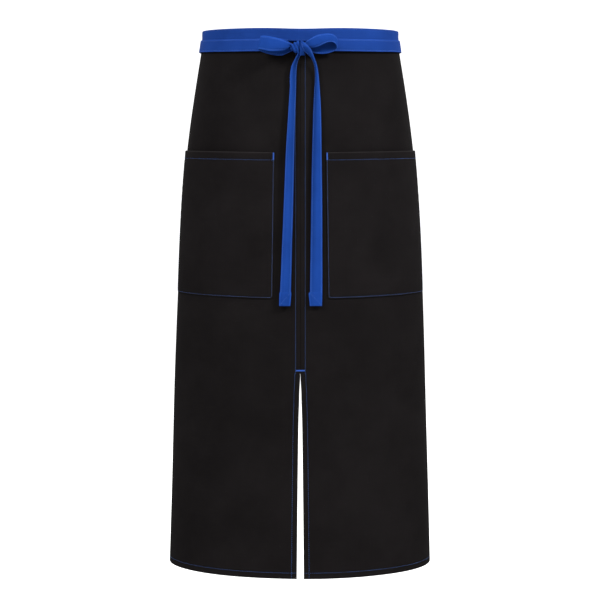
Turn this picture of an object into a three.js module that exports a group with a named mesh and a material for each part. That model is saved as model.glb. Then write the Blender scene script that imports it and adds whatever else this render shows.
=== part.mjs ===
// A long waist apron of black canvas with a blue waistband and ties, tied round a standing wearer.
// Its front opens into two leg panels below the thigh, and two patch pockets wrap the hips.
// Millimetres, +Z up, the front faces -Y. The origin is on the wearer's axis, at mid-waistband.
import * as THREE from "three";

// ---- The wearer's form that the cloth lies on: an ellipse at every height ----
const WAIST_HALF_BREADTH = 156.5;
const WAIST_HALF_DEPTH = 107;
const HIP_GAIN_BREADTH = 32.6;
const HIP_GAIN_DEPTH = 18;
const HIP_DROP = 172;
const HIP_ROUNDNESS = 1.25;
const FLARE_BREADTH = 0.0299;
const FLARE_DEPTH = 0.0145;

// ---- The cloth ----
const CLOTH_WIDTH = 760;
const HEM_LEVEL = -856;
const CLOTH = 1.5;
const GAP = 0.35;
const SIDE_HEM = 12;
const BOTTOM_HEM = 12;
const SLIT_HEM = 12;
const SLIT_TOP = -530;
const SLIT_TOP_GAP = 1.6;
const SLIT_HEM_GAP = 11;
const SLIT_CURVE = 0.6;
const SEAM_LEFT_ROW = -6.3;
const SEAM_RIGHT_ROW = 8.8;
const SEAM_MARGIN = 2;

// ---- Waistband and ties ----
const BAND_HEIGHT = 20;
const BAND_ROW_INSET = 2;
const TIE_WIDTH = 20;
const TIE_THICKNESS = 1.2;
const TIE_CLEARANCE = 0.7;
const TIE_FRONT_TOP = -7.5;
const TIE_PASSING_GAP = 1.5;
const TIE_CROSSING_LIFT = 2.2;
const TIE_CROSSING_EASE = 8;
const TIE_LAP = 18;

// ---- Bow ----
const KNOT_CENTRE = -3.6;
const KNOT_LEVEL = -21;
const KNOT_WIDTH = 23;
const KNOT_HEIGHT = 25;
const KNOT_DEPTH = 15;
const KNOT_SQUARENESS = 0.7;
const LOOP_DEPTH = 13;
const LOOP_STEPS = 14;
const LOOP_PINCH = 0.06;
const LEFT_LOOP = { reach: 50, tilt: 12, level: -22 };
const RIGHT_LOOP = { reach: 49, tilt: 9, level: -19 };
const TAIL_HINGE_LEVEL = -44;
const TAIL_END_LEVEL = -423;
const TAIL_WIDTH = 19;
const TAIL_CLEARANCE = 2;
const TAIL_UNFOLD = 0.6;
const NECK_STEPS = 4;
const LEFT_TAIL = { neck: -6, top: -8, bottom: -24, sway: -2, topWidth: 7 };
const RIGHT_TAIL = { neck: 12.5, top: 21.5, bottom: 24.5, sway: 4, topWidth: 6 };

// ---- Pockets ----
const POCKET_INNER = 43.3;
const POCKET_WIDTH = 200;
const POCKET_TOP = -181;
const POCKET_HEIGHT = 228;
const POCKET_TOP_HEM = 12;
const POCKET_MOUTH = 14;
const POCKET_HEM_INSET = 30;
const POCKET_ROW_INSET = 1.5;

// ---- Thread ----
const THREAD = 0.9;
const HEM_ROW_INSET = 9;
const SLIT_ROW_INSET = 7;
const TACK_WIDTH = 2.2;
const TACK_THICKNESS = 1;
const SLIT_TACK_HEIGHT = 2.4;
const SLIT_TACK_RISE = 4;

// ---- Grid of flat facets that every layer shares, so layers nest without touching ----
const COLUMN_STEP = 14;
const ROW_STEP = 40;
const GRID_SLACK = 1.5;
const ARC_STEPS = 1440;

const HALF_WIDTH = CLOTH_WIDTH / 2;
const BAND_TOP = BAND_HEIGHT / 2;
const BAND_BOTTOM = -BAND_HEIGHT / 2;
const FORM_TOP = BAND_TOP;
const BAND_OUTSIDE = GAP + CLOTH;
const TIE_INSIDE = BAND_OUTSIDE + THREAD + TIE_CLEARANCE;
const TIE_FRONT_LEVEL = TIE_FRONT_TOP - TIE_WIDTH / 2;
const TIE_BACK_LEVEL = -TIE_WIDTH - TIE_PASSING_GAP;
const UPPER_BOTTOM = SLIT_TOP + GAP / 2;
const LEG_TOP = SLIT_TOP - GAP / 2;
const POCKET_OUTER = POCKET_INNER + POCKET_WIDTH;
const POCKET_BOTTOM = POCKET_TOP - POCKET_HEIGHT;
const POCKET_ROW_LEVEL = POCKET_TOP - POCKET_TOP_HEM;

const canvasMaterial = () =>
  new THREE.MeshStandardMaterial({ color: 0x1d1c1d, roughness: 0.92, metalness: 0 });
const pocketMaterial = () =>
  new THREE.MeshStandardMaterial({ color: 0x1f1d1e, roughness: 0.92, metalness: 0 });
const bandMaterial = () =>
  new THREE.MeshStandardMaterial({ color: 0x1f4590, roughness: 0.85, metalness: 0 });
const tieMaterial = () =>
  new THREE.MeshStandardMaterial({ color: 0x214c9f, roughness: 0.85, metalness: 0 });
const threadMaterial = () =>
  new THREE.MeshStandardMaterial({ color: 0x2a5bc4, roughness: 0.6, metalness: 0 });

// ---- Form ----

// How far the hips have filled out at a height, from 0 at the waist to 1.
function hipShare(drop) {
  return 1 - Math.exp(-Math.pow(drop / HIP_DROP, HIP_ROUNDNESS));
}

function halfBreadth(z) {
  const drop = Math.max(0, -z);
  return WAIST_HALF_BREADTH + HIP_GAIN_BREADTH * hipShare(drop) + FLARE_BREADTH * drop;
}

function halfDepth(z) {
  const drop = Math.max(0, -z);
  return WAIST_HALF_DEPTH + HIP_GAIN_DEPTH * hipShare(drop) + FLARE_DEPTH * drop;
}

// The ellipse at one height, with the arc length from its front at even turns.
function makeRing(z) {
  const across = halfBreadth(z);
  const deep = halfDepth(z);
  const lengths = [0];
  for (let step = 1; step <= ARC_STEPS; step += 1) {
    const turn = ((step - 0.5) / ARC_STEPS) * 2 * Math.PI;
    const speed = Math.hypot(across * Math.cos(turn), deep * Math.sin(turn));
    lengths.push(lengths[step - 1] + (speed * 2 * Math.PI) / ARC_STEPS);
  }
  return { z, across, deep, lengths };
}

// The ellipse's turn where the arc from the front has a given length.
function turnAt(ring, arc) {
  const whole = ring.lengths[ARC_STEPS];
  const along = ((arc % whole) + whole) % whole;
  let low = 0;
  let high = ARC_STEPS;
  while (high - low > 1) {
    const middle = (low + high) >> 1;
    if (ring.lengths[middle] <= along) low = middle;
    else high = middle;
  }
  const share = (along - ring.lengths[low]) / (ring.lengths[high] - ring.lengths[low]);
  return ((low + share) / ARC_STEPS) * 2 * Math.PI;
}

const ringCache = new Map();
const nodeCache = new Map();

// One corner of the shared grid: its place on the form and its outward direction.
function gridNode(column, row) {
  const key = `${column},${row}`;
  if (!nodeCache.has(key)) {
    const z = FORM_TOP - row * ROW_STEP;
    if (!ringCache.has(row)) ringCache.set(row, makeRing(z));
    const ring = ringCache.get(row);
    const turn = turnAt(ring, column * COLUMN_STEP);
    const place = new THREE.Vector3(ring.across * Math.sin(turn), -ring.deep * Math.cos(turn), z);
    const out = new THREE.Vector3(Math.sin(turn) / ring.across, -Math.cos(turn) / ring.deep, 0);
    nodeCache.set(key, { place, out: out.normalize() });
  }
  return nodeCache.get(key);
}

// The point at arc length s and height z, a given distance outside the form's facets.
function onForm(s, z, outside) {
  const column = Math.floor(s / COLUMN_STEP);
  const row = Math.floor((FORM_TOP - z) / ROW_STEP);
  const across = s / COLUMN_STEP - column;
  const down = (FORM_TOP - z) / ROW_STEP - row;
  const point = new THREE.Vector3();
  for (const [i, shareAcross] of [[0, 1 - across], [1, across]]) {
    for (const [j, shareDown] of [[0, 1 - down], [1, down]]) {
      const corner = gridNode(column + i, row + j);
      const share = shareAcross * shareDown;
      point.addScaledVector(corner.place, share);
      point.addScaledVector(corner.out, share * outside);
    }
  }
  return point;
}

// A value that may be a number or a function of where it is asked for.
const valueAt = (value, ...where) => (typeof value === "function" ? value(...where) : value);

const smooth = (low, high, value) => THREE.MathUtils.smoothstep(value, low, high);

// ---- Solids ----

// A mesh of its own from points and triangles.
function namedMesh(name, material, points, triangles) {
  const geometry = new THREE.BufferGeometry();
  const positions = points.flatMap((point) => [point.x, point.y, point.z]);
  geometry.setAttribute("position", new THREE.Float32BufferAttribute(positions, 3));
  geometry.setIndex(triangles);
  geometry.computeVertexNormals();
  const mesh = new THREE.Mesh(geometry, material);
  mesh.name = name;
  return mesh;
}

// A closed solid between an outer and an inner grid of points.
// Columns run to +X at the front, rows run upwards.
function sheetSolid(name, material, outer, inner) {
  const columns = outer.length;
  const rows = outer[0].length;
  const points = [...outer.flat(), ...inner.flat()];
  const at = (face, i, j) => face * columns * rows + i * rows + j;
  const triangles = [];
  const quad = (a, b, c, d) => triangles.push(a, b, c, a, c, d);
  for (let i = 0; i + 1 < columns; i += 1) {
    for (let j = 0; j + 1 < rows; j += 1) {
      quad(at(0, i, j), at(0, i + 1, j), at(0, i + 1, j + 1), at(0, i, j + 1));
      quad(at(1, i, j), at(1, i, j + 1), at(1, i + 1, j + 1), at(1, i + 1, j));
    }
    quad(at(0, i, 0), at(1, i, 0), at(1, i + 1, 0), at(0, i + 1, 0));
    quad(at(0, i, rows - 1), at(0, i + 1, rows - 1), at(1, i + 1, rows - 1), at(1, i, rows - 1));
  }
  for (let j = 0; j + 1 < rows; j += 1) {
    quad(at(0, 0, j), at(0, 0, j + 1), at(1, 0, j + 1), at(1, 0, j));
    const end = columns - 1;
    quad(at(0, end, j), at(1, end, j), at(1, end, j + 1), at(0, end, j + 1));
  }
  return namedMesh(name, material, points, triangles);
}

// Values from one end to the other, with the shared grid's lines between them.
function withGridLines(from, to, first, step) {
  const values = [from];
  const start = Math.ceil((from + GRID_SLACK - first) / step);
  for (let line = start; first + line * step < to - GRID_SLACK; line += 1) {
    values.push(first + line * step);
  }
  values.push(to);
  return values;
}

const columnsBetween = (from, to) => withGridLines(from, to, 0, COLUMN_STEP);
const rowsBetween = (from, to) => withGridLines(from, to, FORM_TOP, ROW_STEP);

// A layer of cloth on the form. The edges may be numbers or functions of the height,
// and outer and inner may be numbers or functions of arc length and height.
function layer(name, material, { left, right, bottom, top, outer, inner }) {
  const heights = rowsBetween(bottom, top);
  const columns = columnsBetween(valueAt(left, top), valueAt(right, top));
  const last = columns.length - 1;
  const grid = (offset) =>
    columns.map((column, i) =>
      heights.map((z) => {
        const s = i === 0 ? valueAt(left, z) : i === last ? valueAt(right, z) : column;
        return onForm(s, z, valueAt(offset, s, z));
      }),
    );
  return sheetSolid(name, material, grid(outer), grid(inner));
}

// A tie's strip along the form: path(stop) gives its arc length, height and outside.
function tieStrip(name, stops, path) {
  const grid = (extra) =>
    stops.map((stop) => {
      const { s, z, outside } = path(stop);
      const edges = [z - TIE_WIDTH / 2, z + TIE_WIDTH / 2];
      return edges.map((height) => onForm(s, height, outside + extra));
    });
  return sheetSolid(name, tieMaterial(), grid(TIE_THICKNESS), grid(0));
}

// A tie's strip hanging down the form: path(z) gives its arc length, width and outside.
function hangingStrip(name, heights, path) {
  const grid = (extra) =>
    [-0.5, 0.5].map((side) =>
      heights.map((z) => {
        const { s, width, outside } = path(z);
        return onForm(s + side * width, z, outside + extra);
      }),
    );
  return sheetSolid(name, tieMaterial(), grid(TIE_THICKNESS), grid(0));
}

// Thread along a route of { s, z, outside } points, square in section and mitred at corners.
function thread(name, route) {
  const half = THREAD / 2;
  const sections = route.map((here, i) => {
    const before = route[Math.max(0, i - 1)];
    const after = route[Math.min(route.length - 1, i + 1)];
    const arrive = new THREE.Vector2(here.s - before.s, here.z - before.z).normalize();
    const leave = new THREE.Vector2(after.s - here.s, after.z - here.z).normalize();
    const along = arrive.clone().add(leave).normalize();
    const mitre = i > 0 && i + 1 < route.length ? half / Math.max(0.5, along.dot(leave)) : half;
    const sideways = new THREE.Vector2(-along.y, along.x).multiplyScalar(mitre);
    const corner = (side, lift) =>
      onForm(here.s + side * sideways.x, here.z + side * sideways.y, here.outside + lift);
    return [corner(-1, 0), corner(-1, THREAD), corner(1, THREAD), corner(1, 0)];
  });
  const points = sections.flat();
  const triangles = [];
  for (let i = 0; i + 1 < sections.length; i += 1) {
    for (let k = 0; k < 4; k += 1) {
      const a = i * 4 + k;
      const b = i * 4 + ((k + 1) % 4);
      triangles.push(a, a + 4, b + 4, a, b + 4, b);
    }
  }
  const end = (sections.length - 1) * 4;
  triangles.push(0, 1, 2, 0, 2, 3, end, end + 2, end + 1, end, end + 3, end + 2);
  return namedMesh(name, threadMaterial(), points, triangles);
}

// The points of a level stretch of thread, with the grid's lines in between.
function alongLevel(fromS, toS, z, outside) {
  const columns = columnsBetween(Math.min(fromS, toS), Math.max(fromS, toS));
  const ordered = fromS < toS ? columns : columns.reverse();
  return ordered.map((s) => ({ s, z, outside: valueAt(outside, s, z) }));
}

// The points of a stretch of thread up or down an edge.
function alongEdge(edge, fromZ, toZ, outside) {
  const heights = rowsBetween(Math.min(fromZ, toZ), Math.max(fromZ, toZ));
  const ordered = fromZ < toZ ? heights : heights.reverse();
  return ordered.map((z) => {
    const s = valueAt(edge, z);
    return { s, z, outside: valueAt(outside, s, z) };
  });
}

// Thread down one side, along the bottom and up the other, with its corners kept once.
function threadRoundThreeSides(name, side, sides) {
  const { near, far, top, bottom, outside } = sides;
  const place = (edge) => (z) => side * valueAt(edge, z);
  const down = alongEdge(place(near), top, bottom, outside);
  const across = alongLevel(place(near)(bottom), place(far)(bottom), bottom, outside);
  const up = alongEdge(place(far), bottom, top, outside);
  return thread(name, [...down, ...across.slice(1), ...up.slice(1)]);
}

// ---- Body of the apron ----

// Half the slit's width at a height below its top.
function slitHalf(z) {
  const share = Math.min(1, Math.max(0, (SLIT_TOP - z) / (SLIT_TOP - HEM_LEVEL)));
  return (SLIT_TOP_GAP + (SLIT_HEM_GAP - SLIT_TOP_GAP) * Math.pow(share, SLIT_CURVE)) / 2;
}

// Left and right edges of a piece, from its edges counted outwards from the middle.
// side is -1 for the half at -X and 1 for the half at +X.
function halfEdges(side, near, far) {
  const place = (edge) => (z) => side * valueAt(edge, z);
  return side > 0
    ? { left: place(near), right: place(far) }
    : { left: place(far), right: place(near) };
}

function upperPanel(name, side) {
  return layer(`${name}_upper_panel`, canvasMaterial(), {
    ...halfEdges(side, GAP / 2, HALF_WIDTH),
    bottom: UPPER_BOTTOM,
    top: BAND_TOP - CLOTH - GAP,
    outer: 0,
    inner: -CLOTH,
  });
}

function legPanel(name, side) {
  return layer(`${name}_leg_panel`, canvasMaterial(), {
    ...halfEdges(side, slitHalf, HALF_WIDTH),
    bottom: HEM_LEVEL,
    top: LEG_TOP,
    outer: 0,
    inner: -CLOTH,
  });
}

// Cloth turned back behind the panels.
function turnedCloth(name, edges, bottom, top) {
  const outer = -CLOTH - GAP;
  return layer(name, canvasMaterial(), { ...edges, bottom, top, outer, inner: outer - CLOTH });
}

function hems(name, side) {
  const sideHem = halfEdges(side, HALF_WIDTH - SIDE_HEM, HALF_WIDTH);
  const slitHem = halfEdges(side, slitHalf, (z) => slitHalf(z) + SLIT_HEM);
  const wholeHem = halfEdges(side, slitHalf, HALF_WIDTH);
  const hemTop = HEM_LEVEL + BOTTOM_HEM;
  return [
    turnedCloth(`${name}_upper_side_hem`, sideHem, UPPER_BOTTOM, BAND_BOTTOM - GAP),
    turnedCloth(`${name}_leg_side_hem`, sideHem, hemTop + GAP, LEG_TOP),
    turnedCloth(`${name}_slit_hem`, slitHem, hemTop + GAP, LEG_TOP),
    turnedCloth(`${name}_bottom_hem`, wholeHem, HEM_LEVEL, hemTop),
  ];
}

// The felled seam allowance down the middle, behind both upper panels.
function centreSeam() {
  const edges = { left: SEAM_LEFT_ROW - SEAM_MARGIN, right: SEAM_RIGHT_ROW + SEAM_MARGIN };
  return turnedCloth("centre_seam", edges, UPPER_BOTTOM, BAND_BOTTOM - GAP);
}

// A strip folded over the top edge: its outer wall, its top and its inner wall.
function waistband() {
  const behind = -CLOTH - GAP;
  const ceiling = BAND_TOP - CLOTH;
  const section = [
    [BAND_OUTSIDE, BAND_BOTTOM],
    [BAND_OUTSIDE, BAND_TOP],
    [behind - CLOTH, BAND_TOP],
    [behind - CLOTH, BAND_BOTTOM],
    [behind, BAND_BOTTOM],
    [behind, ceiling],
    [GAP, ceiling],
    [GAP, BAND_BOTTOM],
  ];
  const endFaces = [[0, 1, 6, 7], [1, 2, 5, 6], [2, 3, 4, 5]];
  const columns = columnsBetween(-HALF_WIDTH, HALF_WIDTH);
  const points = columns.flatMap((s) => section.map(([outside, z]) => onForm(s, z, outside)));
  const count = section.length;
  const last = (columns.length - 1) * count;
  const triangles = [];
  for (let start = 0; start < last; start += count) {
    for (let k = 0; k < count; k += 1) {
      const a = start + k;
      const b = start + ((k + 1) % count);
      triangles.push(a, a + count, b + count, a, b + count, b);
    }
  }
  for (const [a, b, c, d] of endFaces) {
    triangles.push(a, b, c, a, c, d);
    triangles.push(last + a, last + c, last + b, last + a, last + d, last + c);
  }
  return namedMesh("waistband", bandMaterial(), points, triangles);
}

// ---- Pockets ----

// How far the pocket's cloth stands off the panel: least at its sewn edges, most at its mouth.
function pocketStandOff(s, z) {
  const across = THREE.MathUtils.clamp((Math.abs(s) - POCKET_INNER) / POCKET_WIDTH, 0, 1);
  const up = THREE.MathUtils.clamp((z - POCKET_BOTTOM) / POCKET_HEIGHT, 0, 1);
  return GAP + POCKET_MOUTH * Math.sqrt(Math.sin(Math.PI * across) * up);
}

const onPocket = (s, z) => pocketStandOff(s, z) + CLOTH + GAP;

function pocketCloth(name, side) {
  return layer(`${name}_pocket`, pocketMaterial(), {
    ...halfEdges(side, POCKET_INNER, POCKET_OUTER),
    bottom: POCKET_BOTTOM,
    top: POCKET_TOP,
    outer: (s, z) => pocketStandOff(s, z) + CLOTH,
    inner: pocketStandOff,
  });
}

// The pocket's top edge, turned down inside its mouth.
function pocketTopHem(name, side) {
  return layer(`${name}_pocket_top_hem`, pocketMaterial(), {
    ...halfEdges(side, POCKET_INNER + POCKET_HEM_INSET, POCKET_OUTER - POCKET_HEM_INSET),
    bottom: POCKET_ROW_LEVEL,
    top: POCKET_TOP,
    outer: (s, z) => pocketStandOff(s, z) - GAP,
    inner: (s, z) => pocketStandOff(s, z) - GAP - CLOTH,
  });
}

// A short bar of dense stitches across a pocket's top corner.
function pocketTack(name, side, near) {
  return layer(name, threadMaterial(), {
    ...halfEdges(side, near, near + TACK_WIDTH),
    bottom: POCKET_ROW_LEVEL + THREAD / 2 + GAP,
    top: POCKET_TOP - GAP,
    outer: (s, z) => onPocket(s, z) + TACK_THICKNESS,
    inner: onPocket,
  });
}

function pocketThreads(name, side) {
  const near = POCKET_INNER + POCKET_ROW_INSET;
  const far = POCKET_OUTER - POCKET_ROW_INSET;
  const top = POCKET_ROW_LEVEL - THREAD / 2 - GAP;
  const bottom = POCKET_BOTTOM + POCKET_ROW_INSET;
  const topRow = alongLevel(side * near, side * far, POCKET_ROW_LEVEL, onPocket);
  return [
    thread(`${name}_pocket_top_thread`, topRow),
    threadRoundThreeSides(`${name}_pocket_side_thread`, side, {
      near, far, top, bottom, outside: onPocket,
    }),
  ];
}

function pocketParts(name, side) {
  return [
    pocketCloth(name, side),
    pocketTopHem(name, side),
    pocketTack(`${name}_pocket_inner_tack`, side, POCKET_INNER + GAP),
    pocketTack(`${name}_pocket_outer_tack`, side, POCKET_OUTER - GAP - TACK_WIDTH),
    ...pocketThreads(name, side),
  ];
}

// ---- Threads and tacks on the body ----

function bodyThreads() {
  const bandRow = (level) => alongLevel(-HALF_WIDTH + GAP, HALF_WIDTH - GAP, level, BAND_OUTSIDE + GAP);
  const seamRow = (s) => alongEdge(s, BAND_BOTTOM - GAP, UPPER_BOTTOM + GAP, GAP);
  return [
    thread("waistband_top_thread", bandRow(BAND_TOP - BAND_ROW_INSET)),
    thread("waistband_bottom_thread", bandRow(BAND_BOTTOM + BAND_ROW_INSET)),
    thread("centre_seam_left_thread", seamRow(SEAM_LEFT_ROW)),
    thread("centre_seam_right_thread", seamRow(SEAM_RIGHT_ROW)),
    slitTack(),
  ];
}

// The bar of dense stitches that stops the slit from tearing upwards.
function slitTack() {
  const bottom = SLIT_TOP + SLIT_TACK_RISE;
  return layer("slit_tack", threadMaterial(), {
    left: SEAM_LEFT_ROW + THREAD,
    right: SEAM_RIGHT_ROW - THREAD,
    bottom,
    top: bottom + SLIT_TACK_HEIGHT,
    outer: GAP + TACK_THICKNESS,
    inner: GAP,
  });
}

function sideThreads(name, side) {
  const rowS = side * (HALF_WIDTH - HEM_ROW_INSET);
  const upperRow = alongEdge(rowS, BAND_BOTTOM - GAP, UPPER_BOTTOM + GAP, GAP);
  return [
    thread(`${name}_upper_side_thread`, upperRow),
    threadRoundThreeSides(`${name}_leg_hem_thread`, side, {
      near: (z) => slitHalf(z) + SLIT_ROW_INSET,
      far: HALF_WIDTH - HEM_ROW_INSET,
      top: LEG_TOP - GAP,
      bottom: HEM_LEVEL + HEM_ROW_INSET,
      outside: GAP,
    }),
  ];
}

// ---- Ties ----

const tieGirth = makeRing(TIE_FRONT_LEVEL).lengths[ARC_STEPS];

// One tie, from its sewn lap on its own band end, across the back, to the knot in front.
// side is the side it comes round; its sewn end is the band's end on the other side.
function tieWrap(name, side, knotEdge, crossingLift) {
  const otherEnd = HALF_WIDTH;
  const ownEnd = tieGirth - HALF_WIDTH;
  const path = (s) => {
    const climb = smooth(otherEnd + TIE_CROSSING_EASE, ownEnd - TIE_CROSSING_EASE, s);
    const sink = smooth(otherEnd / 2, otherEnd, s);
    const passing = THREE.MathUtils.lerp(TIE_FRONT_LEVEL, TIE_BACK_LEVEL, sink);
    const rise = smooth(otherEnd - TIE_CROSSING_EASE, otherEnd + TIE_CROSSING_EASE, s);
    const fall = smooth(ownEnd - TIE_CROSSING_EASE, ownEnd + TIE_CROSSING_EASE, s);
    return {
      s: side * s,
      z: passing * (1 - climb),
      outside: TIE_INSIDE + crossingLift * (rise - fall),
    };
  };
  const stops = columnsBetween(knotEdge, ownEnd + TIE_LAP);
  return tieStrip(name, side > 0 ? stops : stops.reverse(), path);
}

// ---- Bow ----

const KNOT_Y = onForm(KNOT_CENTRE, KNOT_LEVEL, TIE_INSIDE + KNOT_DEPTH / 2).y;

function knot() {
  const geometry = new THREE.SphereGeometry(1, 14, 10);
  const position = geometry.getAttribute("position");
  const squared = (value) => Math.sign(value) * Math.pow(Math.abs(value), KNOT_SQUARENESS);
  for (let i = 0; i < position.count; i += 1) {
    position.setXYZ(
      i,
      KNOT_CENTRE + (squared(position.getX(i)) * KNOT_WIDTH) / 2,
      KNOT_Y + (squared(position.getY(i)) * KNOT_DEPTH) / 2,
      KNOT_LEVEL + (squared(position.getZ(i)) * KNOT_HEIGHT) / 2,
    );
  }
  const mesh = new THREE.Mesh(geometry, tieMaterial());
  mesh.name = "knot";
  return mesh;
}

// One bow loop: the strip leaves the knot, turns at its far end and comes back behind itself.
function bowLoop(name, side, { reach, tilt, level }) {
  const angle = THREE.MathUtils.degToRad(tilt);
  const clearOfKnot = KNOT_WIDTH / 2 + GAP + (Math.sin(angle) * TIE_WIDTH) / 2;
  const pinch = Math.sin(Math.PI * LOOP_PINCH);
  const middle = (share) => {
    const turn = Math.PI * THREE.MathUtils.lerp(LOOP_PINCH, 1 - LOOP_PINCH, share);
    const out = (reach * (Math.sin(turn) - pinch)) / (1 - pinch);
    return new THREE.Vector2(out, (-LOOP_DEPTH / 2) * Math.sin(2 * turn));
  };
  const place = (share, extra, height) => {
    const nudge = 0.001;
    const along = middle(share + nudge).sub(middle(share - nudge)).normalize();
    const point = middle(share).add(new THREE.Vector2(along.y, -along.x).multiplyScalar(extra));
    const out = clearOfKnot + point.x * Math.cos(angle) - height * Math.sin(angle);
    const up = point.x * Math.sin(angle) + height * Math.cos(angle);
    return new THREE.Vector3(KNOT_CENTRE + side * out, KNOT_Y + point.y, level + up);
  };
  const shares = Array.from({ length: LOOP_STEPS + 1 }, (_, i) => i / LOOP_STEPS);
  if (side < 0) shares.reverse();
  const grid = (extra) =>
    shares.map((share) =>
      [-TIE_WIDTH / 2, TIE_WIDTH / 2].map((height) => place(share, extra, height)),
    );
  return sheetSolid(name, tieMaterial(), grid(TIE_THICKNESS / 2), grid(-TIE_THICKNESS / 2));
}

// The stretch of a tie between the knot and the tail's hinge.
function tieNeck(name, tail, top) {
  const bottom = TAIL_HINGE_LEVEL + GAP / 2;
  const shares = Array.from({ length: NECK_STEPS + 1 }, (_, i) => i / NECK_STEPS);
  const heights = shares.map((share) => THREE.MathUtils.lerp(bottom, top, share));
  return hangingStrip(name, heights, (z) => {
    const share = (z - bottom) / (top - bottom);
    return {
      s: THREE.MathUtils.lerp(tail.top, tail.neck, share * share),
      width: tail.topWidth,
      outside: THREE.MathUtils.lerp(TAIL_CLEARANCE, TIE_INSIDE, share),
    };
  });
}

// The hanging end of a tie, folded narrow at its top and flat lower down.
function tieTail(name, tail) {
  const top = TAIL_HINGE_LEVEL - GAP / 2;
  return hangingStrip(name, rowsBetween(TAIL_END_LEVEL, top), (z) => {
    const share = THREE.MathUtils.clamp((top - z) / (top - TAIL_END_LEVEL), 0, 1);
    const swayed = tail.sway * Math.sin(Math.PI * Math.sqrt(share));
    return {
      s: THREE.MathUtils.lerp(tail.top, tail.bottom, share) + swayed,
      width: THREE.MathUtils.lerp(tail.topWidth, TAIL_WIDTH, Math.pow(share, TAIL_UNFOLD)),
      outside: TAIL_CLEARANCE,
    };
  });
}

function bow() {
  const knotBottom = KNOT_LEVEL - KNOT_HEIGHT / 2 - GAP;
  const strapBottom = TIE_FRONT_LEVEL - TIE_WIDTH / 2 - GAP;
  return [
    knot(),
    bowLoop("left_loop", -1, LEFT_LOOP),
    bowLoop("right_loop", 1, RIGHT_LOOP),
    tieNeck("left_tie_neck", LEFT_TAIL, knotBottom),
    tieNeck("right_tie_neck", RIGHT_TAIL, strapBottom),
    tieTail("left_tail", LEFT_TAIL),
    tieTail("right_tail", RIGHT_TAIL),
  ];
}

// ---- The apron ----

const apron = new THREE.Group();
apron.add(waistband(), centreSeam(), ...bodyThreads());
for (const [name, side] of [["left", -1], ["right", 1]]) {
  apron.add(upperPanel(name, side), legPanel(name, side));
  apron.add(...hems(name, side), ...pocketParts(name, side), ...sideThreads(name, side));
}
const knotSide = KNOT_WIDTH / 2 + GAP;
apron.add(tieWrap("right_tie_wrap", -1, knotSide - KNOT_CENTRE, 0));
apron.add(tieWrap("left_tie_wrap", 1, knotSide + KNOT_CENTRE, TIE_CROSSING_LIFT));
apron.add(...bow());

export default apron;
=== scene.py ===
# %% [markdown]
# This lesson dresses a CAD model of a long waist apron: two black canvas panels that
# wrap from the front round to the back, two patch pockets, a blue waistband and a pair
# of blue ties in a bow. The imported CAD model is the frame: every soft piece here lies
# where a CAD solid says, takes its place on screen, and rides on the same body.
# %% Load the frame
import math

import bmesh
import bpy
import numpy as np
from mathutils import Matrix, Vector


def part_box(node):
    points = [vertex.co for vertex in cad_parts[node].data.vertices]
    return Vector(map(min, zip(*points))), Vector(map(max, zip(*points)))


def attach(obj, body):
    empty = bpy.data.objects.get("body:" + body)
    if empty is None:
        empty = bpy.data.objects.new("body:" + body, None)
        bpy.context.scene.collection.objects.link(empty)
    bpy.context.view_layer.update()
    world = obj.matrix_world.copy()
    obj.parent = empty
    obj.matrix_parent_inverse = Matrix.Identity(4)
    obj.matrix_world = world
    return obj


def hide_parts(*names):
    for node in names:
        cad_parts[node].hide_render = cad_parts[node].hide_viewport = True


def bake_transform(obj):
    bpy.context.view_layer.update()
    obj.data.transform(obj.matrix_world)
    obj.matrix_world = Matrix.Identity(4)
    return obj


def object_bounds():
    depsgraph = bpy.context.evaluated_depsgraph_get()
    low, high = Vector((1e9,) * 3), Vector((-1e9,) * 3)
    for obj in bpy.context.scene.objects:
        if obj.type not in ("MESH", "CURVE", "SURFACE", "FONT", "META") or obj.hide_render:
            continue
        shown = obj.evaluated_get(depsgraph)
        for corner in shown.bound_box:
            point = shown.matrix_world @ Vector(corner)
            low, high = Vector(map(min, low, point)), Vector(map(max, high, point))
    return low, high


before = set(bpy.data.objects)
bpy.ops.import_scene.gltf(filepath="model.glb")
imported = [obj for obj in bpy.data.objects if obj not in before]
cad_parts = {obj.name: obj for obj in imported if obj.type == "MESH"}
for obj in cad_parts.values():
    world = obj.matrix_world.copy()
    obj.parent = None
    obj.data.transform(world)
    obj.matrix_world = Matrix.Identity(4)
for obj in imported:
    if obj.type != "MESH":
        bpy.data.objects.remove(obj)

MM = 0.001
cad_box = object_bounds()

# %% [markdown]
# A wrapped garment is easiest to think of flat. So each point has cloth coordinates:
# s, the distance round the body from the centre front (positive towards +X), z, the
# height, and out, how far it stands off the cloth's outer face. One function bends them
# round the same hip shape as the CAD model, an ellipse that widens from waist to hip.
# %% Sizes taken from the CAD nodes
def box_mm(node):
    low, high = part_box(node)
    return [c / MM for c in low], [c / MM for c in high]


BAND_TOP = box_mm("waistband")[1][2]
BAND_BOTTOM = box_mm("waistband")[0][2]
PANEL_TOP = box_mm("left_upper_panel")[1][2]
SLIT_TOP = box_mm("left_upper_panel")[0][2]
HEM_LEVEL = box_mm("left_leg_panel")[0][2]
POCKET_BOTTOM, POCKET_TOP = (box_mm("left_pocket")[i][2] for i in (0, 1))
TAIL_END = box_mm("left_tail")[0][2]
HALF_CLOTH = 380.0
CLOTH = 1.5
GAP = 0.35
FOLDED = 2 * CLOTH + GAP
print(f"hem {HEM_LEVEL:.0f} mm, slit from {SLIT_TOP:.0f} mm, pockets from {POCKET_TOP:.0f} mm")


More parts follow.
